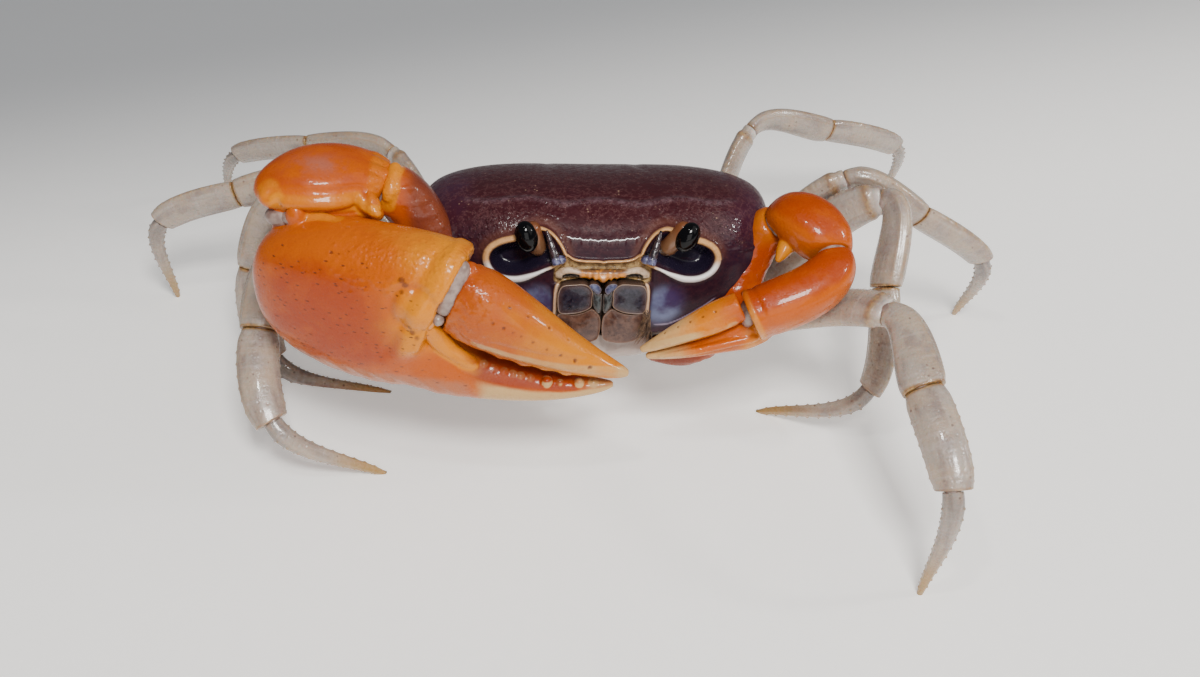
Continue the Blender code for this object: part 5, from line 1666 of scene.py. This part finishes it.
# %% Small claw
SMALL_RIDGE = [
    (13.0, -15.4, 17.2), (11.2, -15.9, 16.8), (9.0, -16.1, 16.1), (6.3, -16.1, 15.1), (5.0, -15.9, 14.4),
]
SMALL_LOW_RIDGE = [(15.4, -15.0, 15.2), (12.5, -15.6, 14.9), (9.0, -16.0, 14.2), (6.0, -15.9, 13.6)]
SMALL_PORES = [
    (12.2, -15.2, 18.9), (11.2, -15.3, 18.4), (10.1, -15.4, 17.9), (9.0, -15.4, 17.3), (7.9, -15.4, 16.7),
    (6.7, -15.4, 16.0),
]


def small_palm():
    body = cut_net(claw_limb("left", "palm", 80, 56, (JOINT_GAP, 0), 2.5).closed(), *HINGE_PLANES["left"])
    nets = [body, claw_limb("left", "fixed", 90, 32).closed(), bead(SMALL_LOW_RIDGE, [0.3, 0.4, 0.35, 0.2])]
    mesh = fused("cheliped_left_palm", nets, 0.13, 5)
    points, normals = spots_of(mesh)
    behind = behind_hinge(points, "left")
    on_palm = ramp(points[:, 0], 13.4, 14.4)
    collar = (1 - ramp(behind, 0.35, 0.7)) * on_palm
    raise_mesh(mesh, 0.1 * collar - 0.08 * bell(behind, 1.1, 0.25) * on_palm)
    below = ramp(-normals[:, 2], -0.2, 0.6)
    masks = {
        "yellow": 0.5 * collar + 0.35 * below + 0.3 * ramp(14 - points[:, 0], 0, 6),
        "deep": 0.8 * ramp(normals[:, 2], 0.3, 0.8) * on_palm,
        "pale": ramp(12.0 - points[:, 0], 0, 6) * 0.8 + collar * 0.35,
        "salmon": ramp(-normals[:, 2], 0.3, 0.8) * 0.7,
    }
    return dress("cheliped_left_palm", mesh, masks)


def small_finger():
    finger = claw_limb("left", "finger", 110, 44, (0.3, 0))
    nets = [finger.closed(), bead(SMALL_RIDGE, [0.3, 0.35, 0.32, 0.25, 0.15])]
    mesh = fused("cheliped_left_finger", nets, 0.12, 4)
    points, normals = spots_of(mesh)
    pores = near(points, SMALL_PORES, 0.12)
    distance = from_line(points, SMALL_RIDGE)
    groove = bell(distance, 0.75, 0.2) * ramp(-normals[:, 1], 0.1, 0.6)
    raise_mesh(mesh, -0.1 * groove - 0.05 * pores)
    masks = {
        "yellow": ramp(14.5 - points[:, 0], 0, 4) * 0.7,
        "pale": ramp(12.5 - points[:, 0], 0, 6) * 0.8 + by_line(points, SMALL_RIDGE, 0.35) * 0.5,
        "deep": ramp(points[:, 0], 12.0, 14.5) * 0.6,
        "dots": pores * 0.8,
    }
    return dress("cheliped_left_finger", mesh, masks)


def small_wrist():
    body = claw_limb("left", "carpus", 70, 56, (JOINT_GAP, JOINT_GAP), 2.5)
    spine = peg([(18.6, -7.4, 20.8), (17.2, -9.6, 19.7)], (1.0, 0.85, 0.6, 0.2)).closed()
    mesh = fused("cheliped_left_carpus", [body.closed(), spine], 0.13, 6)
    points, normals = spots_of(mesh)
    tip = near(points, [(17.4, -9.3, 19.9), (17.9, -8.5, 20.4)], 0.9)
    under = ramp(-normals[:, 2], -0.1, 0.5)
    masks = {
        "yellow": tip + 0.4 * under,
        "deep": 0.7 * ramp(normals[:, 2], 0.2, 0.8),
        "rough": 0.3 * ramp(normals[:, 2], 0.5, 0.9),
    }
    return dress("cheliped_left_carpus", mesh, masks)


def small_arm():
    arm, root = claw_limb("left", "merus", 70, 44, (0, JOINT_GAP)), claw_limb("left", "ischium", 30, 30)
    mesh = fused("cheliped_left_merus", [arm.closed(), root.closed()], 0.15, 5)
    points, normals = spots_of(mesh)
    raise_mesh(mesh, 0.08 * arm_ribs(points, normals))
    masks = {
        "deep": np.full(len(points), 0.7),
        # darker brown on the part nearer the body: painted shade beside the carapace
        "brown": ramp(12.5 - points[:, 0], 0, 4) * 0.5,
        "yellow": ramp(points[:, 2], 18.5, 20.5) * 0.4,
    }
    return dress("cheliped_left_merus", mesh, masks)


small_palm()
small_finger()
small_wrist()
small_arm()
small_skin = [
    knob((17.6, -5.1, 20.9), 1.45), knob((22.2, -9.7, 20.5), 1.5),
    knob((14.3, -14.2, 17.4), (0.8, 1.1, 1.5)),
]
add_skin("cheliped_left_joint_skin", small_skin)
claws = [piece for name, piece in made.items() if name.startswith("cheliped")]
print("claw points:", sum(len(piece.data.vertices) for piece in claws))

# %% [markdown]
# ## Bristles
#
# Beside the mouth hangs a tuft of stiff brown hairs, which the jaws use to comb food and to hold water.
# Each is a thin bent cord of its own: there are few enough to model, and a hair system would not leave
# the scene with the rest of the shell.

# %% Bristles
BRISTLE_COUNT, BRISTLE_RADII = 90, (0.032, 0.0256, 0.012)


def bristle_finish():
    paint = Paint("bristle_horn")
    shade = paint.step(paint.noise(0.5, 3), 0.35, 0.65)
    paint.colour = paint.mix(shade, (0.035, 0.016, 0.008), (0.16, 0.085, 0.04))
    return paint.finish(0.4 + 0.2 * shade)


def bristle():
    start = DOOR_TOP + DOOR_WAY * chance.uniform(2.9, 4.7) + DOOR_OUT * chance.uniform(0.05, 0.45)
    start[0] = chance.uniform(3.8, 4.55)
    drift = np.array([chance.uniform(-0.75, 0.25), chance.uniform(-0.45, -0.1), -1.0])
    end = start + drift * chance.uniform(0.9, 1.9)
    return Limb((start, end), ((0.4, -0.9, -0.4), drift), (1, 0, 0), round_rows(BRISTLE_RADII), 9, 5).closed()


add_skin("mouth_bristles", [bristle() for _ in range(BRISTLE_COUNT)], bristle_finish(), BODY)
print("bristles:", BRISTLE_COUNT)

# %% [markdown]
# ## Walking legs
#
# Eight legs have the same five pieces, and only their lengths and turns differ. A leg piece is flat,
# like a blade on edge: its upper and lower margins are sharp and carry fine teeth, and its sides are
# wrinkled across. The feet rest on the floor, so the reach of the last piece fixes how steeply it goes
# down.

# %% Leg measures
LEG_LENGTHS = {1: (19.6, 9.0, 9.3, 12.0), 2: (20.8, 8.6, 9.9, 12.7), 3: (20.4, 8.4, 9.0, 11.8),
               4: (18.9, 10.4, 10.5, 11.6)}
LEG_HEIGHT = {1: 4.4, 2: 4.2, 3: 3.9, 4: 3.3}
HIP_X = {1: 12.0, 2: 12.6, 3: 12.0, 4: 10.8}
HIP_Y = {1: -3.8, 2: 0.5, 3: 4.7, 4: 8.6}
HIP_Z, ROOT_X, ROOT_Z, ROOT_PITCH = -6.9, 8.3, -7.5, 3.5
FOOT_SINK = 0.25
TURNS = {
    ("left", 1): ((-31, 27), (-77, -11), (-78, -26), -136),
    ("left", 2): ((5, 39), (-91, -42), (-104, -51), 159),
    ("left", 3): ((4, 47), (-6, -27), (2, -38), 93),
    ("left", 4): ((57, 46), (27, -16), (24, -26), 81),
    ("right", 1): ((19, 13), (-75, -23), (-103, -30), -176),
    ("right", 2): ((18, 30), (-23, -59), (-108, -69), -166),
    ("right", 3): ((27, 28), (-1, -10), (-2, -21), 63),
    ("right", 4): ((52, 29), (22, -9), (21, -19), 55),
}
TWISTS = {("left", 1): (-74, 0), ("left", 2): (-50, 0), ("right", 1): (0, 60)}
LEG_PARTS = {
    "coxa": ([
        (0, 0.36, 0.34, 0.34), (0.25, 0.37, 0.42, 0.42), (0.55, 0.30, 0.34, 0.34), (0.8, 0.30, 0.38, 0.38),
        (1, 0.27, 0.34, 0.34)], 40, 32, 2.4),
    "merus": ([
        (0, 0.24, 0.32, 0.30), (0.12, 0.26, 0.42, 0.38), (0.4, 0.28, 0.53, 0.45), (0.75, 0.27, 0.53, 0.43),
        (0.93, 0.27, 0.46, 0.38), (1, 0.23, 0.36, 0.30)], 130, 56, 2.2),
    "carpus": ([
        (0, 0.22, 0.30, 0.28), (0.2, 0.24, 0.38, 0.32), (0.65, 0.27, 0.50, 0.42), (0.9, 0.27, 0.51, 0.44),
        (1, 0.255, 0.48, 0.41)], 80, 60, 2.2),
    "propodus": ([
        (0, 0.23, 0.43, 0.37), (0.12, 0.24, 0.47, 0.41), (0.5, 0.24, 0.47, 0.42), (0.85, 0.21, 0.44, 0.39),
        (1, 0.19, 0.40, 0.34)], 110, 60, 2.2),
    "dactyl": ([
        (0, 0.16, 0.22, 0.20), (0.15, 0.16, 0.24, 0.20), (0.6, 0.12, 0.16, 0.13), (0.9, 0.08, 0.09, 0.08),
        (1, 0.055, 0.06, 0.055)], 150, 52, 2.0),
}


def direction(sign, azimuth, elevation):
    a, e = math.radians(azimuth), math.radians(elevation)
    return Vector((sign * math.cos(a) * math.cos(e), math.sin(a) * math.cos(e), math.sin(e)))


def leg_line(side, number):
    """Joints of one leg from the body to the floor, and the direction of each piece."""
    sign = SIDES[side]
    turns = TURNS[side, number]
    hip = body_place @ Vector((sign * HIP_X[number], HIP_Y[number], HIP_Z))
    root = body_place @ Vector((sign * ROOT_X, (number - 2.35) * ROOT_PITCH + 0.6, ROOT_Z))
    joints, ways = [root, hip], [(hip - root).normalized()]
    for azimuth_elevation, length in zip(turns[:3], LEG_LENGTHS[number]):
        ways.append(direction(sign, *azimuth_elevation))
        joints.append(joints[-1] + ways[-1] * length)
    reach = LEG_LENGTHS[number][3]
    elevation = -math.degrees(math.asin((joints[-1].z + FOOT_SINK) / reach))
    ways.append(direction(sign, turns[3], elevation))
    joints.append(joints[-1] + ways[-1] * reach)
    return joints, ways


joints, ways = leg_line("left", 1)
print("first left leg reaches", [round(value, 1) for value in joints[-1]])

# %% [markdown]
# ## Leg finish
#
# Leg shell is thin and lets the light into it: a pale grey-lilac that looks almost like wet plastic,
# with violet streaks along it, ochre-brown at the margins and the joints, and yellow-brown tips. The
# streaks run along the leg and the wrinkles across it, so the noises are laid over coordinates that
# follow the limb: the distance along it and the place round it, which the modelling cell has stored.

# %% Leg finish
GREY, DUSK, OCHRE, HORN = (0.37, 0.305, 0.255), (0.20, 0.145, 0.13), (0.34, 0.20, 0.075), (0.36, 0.22, 0.08)


def leg_finish():
    paint = Paint("leg_shell")
    place = [paint.mask(name) for name in ("along", "round_x", "round_y")]

    def streaks(long, wide, detail=4):
        spot = paint.node("ShaderNodeCombineXYZ", {}, {
            0: place[0] * (1 / long), 1: place[1] * (1 / wide), 2: place[2] * (1 / wide)})
        return paint.node("ShaderNodeTexNoise", {}, {"Vector": spot, "Scale": 1.0, "Detail": detail})

    cloud = paint.noise(2.4, 4, 0.6)
    fine = paint.noise(0.4, 4)
    long_streaks = streaks(4.5, 0.8)
    wrinkles = streaks(0.35, 2.6, 3)
    paint.colour = paint.mix(paint.step(long_streaks, 0.42, 0.68) * 0.8, GREY, DUSK)
    paint.cover(paint.step(cloud, 0.4, 0.66) * 0.6, (0.44, 0.33, 0.235))
    paint.cover(paint.step(wrinkles, 0.52, 0.72) * 0.2, (0.52, 0.46, 0.44))
    paint.cover(paint.mask("margin") * paint.step(fine, 0.35, 0.65) * 0.45, OCHRE)
    ochre = paint.mix(paint.step(fine, 0.4, 0.6), OCHRE, (0.20, 0.10, 0.04))
    paint.cover("joint", ochre)
    paint.cover("dark", (0.085, 0.075, 0.075))
    paint.cover("horn", HORN)
    # pale knot at the merus end: partly pale joint shell, partly a painted highlight of the joint's glints
    paint.cover("knot", (0.72, 0.66, 0.62))
    dots = paint.step(paint.cells(0.8), 0.19, 0.11) * paint.step(cloud, 0.45, 0.6)
    paint.cover(dots * 0.7, (0.09, 0.04, 0.03))
    height = wrinkles * 0.45 + fine * 0.7 + paint.step(paint.cells(0.5), 0.05, 0.4) * 0.35
    roughness = 0.2 + 0.22 * paint.step(fine, 0.35, 0.75)
    return paint.finish(roughness, height, 0.07, {
        "Coat Weight": 0.5, "Coat Roughness": 0.08, "Subsurface Weight": 0.18, "Subsurface Scale": 0.0012})


leg_paint = leg_finish()

print("leg finish uses", len(leg_paint.node_tree.nodes), "nodes")

# %% [markdown]
# ## Relief of a leg
#
# Margins, ridges and rows of small spines are sums of the place along a piece and the angle round it.
# The same sums paint the margins ochre and the spines and tips yellow-brown.

# %% Leg relief
LEG_GAP = 0.04
SKIN_SIZES = {"coxa": 0.28, "merus": 0.24, "carpus": 0.21, "propodus": 0.16}
MARGIN_TOOTH = 0.62
# first and last place, count, height and the angles of the rows
SPINE_ROWS = {
    "propodus": (0.25, 0.93, 7, 0.11, (90, 270)),
    "dactyl": (0.12, 0.88, 10, 0.18, (68, 112, 248, 292)),
}


def leg_relief(part, limb, size):
    """Margins, teeth and joint collars of a leg piece, and its masks."""
    t = limb.t[:, None]
    sine, cosine = np.sin(limb.angle)[None, :], np.cos(limb.angle)[None, :]
    top, bottom = ramp(sine, 0.93, 0.995), ramp(-sine, 0.93, 0.995)
    inner = ramp(t, 0.06, 0.16) * (1 - ramp(t, 0.86, 0.95))
    height = np.zeros((len(limb.t), len(limb.angle)))
    masks = dict.fromkeys(("margin", "joint", "dark", "horn", "knot"), height)
    teeth = 0.5 + 0.5 * np.cos(t * limb.length / MARGIN_TOOTH * math.tau)
    if part in ("merus", "propodus"):
        masks["margin"] = np.maximum(top, bottom) * inner
    if part == "merus":
        height = inner * (0.16 * top * (0.4 + 0.6 * teeth) + 0.07 * bottom) * size
        height = height + 0.06 * bell(t, 0.93, 0.02) - 0.10 * bell(t, 0.965, 0.012)
        # knot: pale joint shell and painted glints at the sides of the merus end
        masks["knot"] = ramp(t, 0.95, 0.985) * ramp(np.abs(cosine), 0.3, 0.8) * 0.55
        masks["joint"] = bell(t, 0.935, 0.022) * 0.8
    if part == "carpus":
        ridge = (bell(cosine, 0.62, 0.12) + bell(cosine, -0.62, 0.12)) * (sine > 0)
        height = (0.10 * ridge * inner + 0.08 * top * inner) * size
        masks["margin"] = np.clip(top + ridge * 0.8, 0, 1) * inner
        masks["joint"] = (1 - ramp(t, 0.0, 0.06)) * 0.7 + ramp(t, 0.955, 0.985)
    if part == "propodus":
        height = inner * (0.07 * top + 0.07 * bottom) * size
        height = height - 0.08 * bell(np.abs(cosine), 0.75, 0.12) * inner * size
        masks["joint"] = (1 - ramp(t, 0.015, 0.05)) + ramp(t, 0.965, 0.99) * 0.6
    if part == "dactyl":
        ribs = bell(sine, 0.62, 0.18) + bell(sine, -0.62, 0.18)
        height = 0.05 * ribs * (1 - ramp(t, 0.85, 1.0)) * size
        masks["dark"] = (1 - ramp(t, 0.02, 0.5)) * 0.55 * (1 - ribs * 0.6)
        masks["horn"] = ramp(t, 0.42, 0.85)
    if part in SPINE_ROWS:
        first, last, count, reach, angles = SPINE_ROWS[part]
        for row, angle in enumerate(angles):
            off = np.abs((limb.angle - math.radians(angle) + math.pi) % math.tau - math.pi)[None, :]
            places = np.linspace(first, last, count) + 0.3 * (row % 2) * (last - first) / count
            row_height = sum(bell(t, place, 0.11 / limb.length) for place in places) * bell(off, 0, 0.13)
            height = height + reach * row_height * (1.1 - 0.5 * t)
            masks["horn"] = np.maximum(masks["horn"], np.clip(row_height, 0, 1) * 0.8)
    if part == "coxa":
        height = height + 0.12 * bell(t, 0.3, 0.08) - 0.12 * bell(t, 0.55, 0.05)
        masks["joint"] = bell(t, 0.55, 0.06)
    masks["along"] = t * limb.length
    masks["round_x"], masks["round_y"] = cosine * size, sine * size
    return height, masks


print("pieces with spines:", list(SPINE_ROWS))

# %% [markdown]
# ## Eight legs
#
# Each piece starts in the direction in which the one before it ended, and a ball of soft skin fills the
# joint. The tips are pressed flat where they meet the floor.

# %% Leg pieces


def leg(side, number):
    joints, ways = leg_line(side, number)
    start_way = body_place.to_3x3() @ Vector((SIDES[side], 0, 0))
    twist, late_twist = TWISTS.get((side, number), (0, 0))
    across = turn(twist, ways[1], 3) @ ways[1].cross(Vector((0, 0, 1))).normalized()
    size = LEG_HEIGHT[number]
    gaps = []
    for i, (part, (rows, steps, sides, fullness)) in enumerate(LEG_PARTS.items()):
        last = part == "dactyl"
        lead = 0.32 if part == "merus" else 0.4
        end_way = ways[i] if last else (ways[i] * (1 - lead) + ways[i + 1] * lead).normalized()
        start = joints[i] + start_way * LEG_GAP
        end = joints[i + 1] if last else joints[i + 1] - end_way * LEG_GAP
        sizes = [(row[0], *(value * size for value in row[1:])) for row in rows]
        if part == "carpus":
            across = turn(late_twist, start_way, 3) @ across
        limb = Limb((start, end), (start_way, end_way), across, sizes, steps, sides, 0.3, fullness)
        across = Vector(limb.side[-1])
        height, masks = leg_relief(part, limb, size / LEG_HEIGHT[1])
        limb.push(height)
        net = limb.closed()
        if last:
            net[..., 2] = np.maximum(net[..., 2], 0.0)
        masks = {name: limb.spread(values) for name, values in masks.items()}
        masks["along"] = masks["along"] + i * 40 + number * 7
        name = f"leg_{side}_{number}_{part}"
        add_net(f"{name}_shell", net, STANCE, leg_paint, [name], masks)
        if not last:
            gaps.append(knob(joints[i + 1], SKIN_SIZES[part] * size))
        start_way = end_way
    add_skin(f"leg_{side}_{number}_skin", gaps)


for side in SIDES:
    for number in LEG_LENGTHS:
        leg(side, number)
print("leg pieces:", sum(name.startswith("leg") for name in made))

# %% [markdown]
# ## The floor
#
# The crab stands on a pale sheet, painted grey far back and to the left as the shade where the light falls
# off. It glows a little, like a light table, so that it stays white without drowning the crab in light.

# %% Floor


def floor_finish():
    paint = Paint("studio_floor")
    grain = paint.noise(1.5, 3)
    paint.colour = paint.mix(grain, (0.88, 0.865, 0.84), (0.93, 0.915, 0.89))
    right, back = (paint.node("ShaderNodeSeparateXYZ", {}, {"Vector": paint.place}, axis) for axis in "XY")
    # painted shade: the floor turns grey and glows less far back and to the left, as the light falls off
    far_shade = paint.step(back - 0.3 * right, 0.012, 0.085) * 0.85
    paint.cover(far_shade, (0.27, 0.28, 0.30))
    glow = paint.mix(far_shade, (1, 0.985, 0.96), (0.06, 0.065, 0.07))
    glowing = {"Emission Color": glow, "Emission Strength": 0.36}
    return paint.finish(0.55 + 0.1 * grain, constants=glowing)


FLOOR_REACH = 1200
corners = np.array([(-1, -1, 0), (1, -1, 0), (1, 1, 0), (-1, 1, 0)]) * FLOOR_REACH
floor_mesh = new_mesh("studio_floor", corners, [(0, 1, 2, 3)])
floor_mesh.materials.append(floor_finish())
floor = new_object("studio_floor", floor_mesh)
print("floor:", 2 * FLOOR_REACH, "mm wide")

# %% [markdown]
# ## Light and camera
#
# Two soft boxes overhead give the form, a low one washes the floor, and two small ones put sparks on the
# wet shell. The sky is weak and a little blue. The camera looks down from the front at forty degrees.

# %% Light and camera
world = bpy.data.worlds.new("studio")
world.use_nodes = True
sky = world.node_tree.nodes["Background"].inputs
sky["Color"].default_value = (0.66, 0.70, 0.76, 1)
sky["Strength"].default_value = 0.2
bpy.context.scene.world = world


def softbox(name, size, power, place, target=(0, 0, 8), colour=(1, 0.98, 0.95)):
    """A square area light of so many millimetres, aimed at a spot over the floor."""
    light = bpy.data.lights.new(name, "AREA")
    light.size = size * MM
    light.energy = power
    light.color = colour
    holder = new_object(name, light)
    holder.location = Vector(place) * MM
    holder.rotation_euler = (Vector(place) - Vector(target)).to_track_quat("Z", "Y").to_euler()


softbox("main", 90, 1.45, (60, -210, 330))
softbox("fill", 380, 0.38, (280, -60, 300))
softbox("floor_wash", 220, 0.3, (60, -330, 130), (20, -90, 0))
softbox("spark", 12, 0.05, (-20, -60, 190))
softbox("glint", 24, 0.12, (240, -10, 150))
camera = bpy.data.cameras.new("photo_camera")
camera.lens = 45
camera.sensor_width = 36
camera.clip_start = 0.01
camera_holder = new_object("photo_camera", camera)
camera_holder.location = Vector((3.755, -119.425, 103.6)) * MM
camera_holder.rotation_euler = (math.radians(50), 0, 0)
bpy.context.scene.camera = camera_holder
print("lights:", [light.name for light in bpy.data.lights])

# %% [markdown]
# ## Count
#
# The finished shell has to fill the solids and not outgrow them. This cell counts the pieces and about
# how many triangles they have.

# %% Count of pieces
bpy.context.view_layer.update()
triangles = sum(len(piece.data.polygons) * 2 for piece in made.values())
print("pieces:", len(made), "triangles about", triangles)
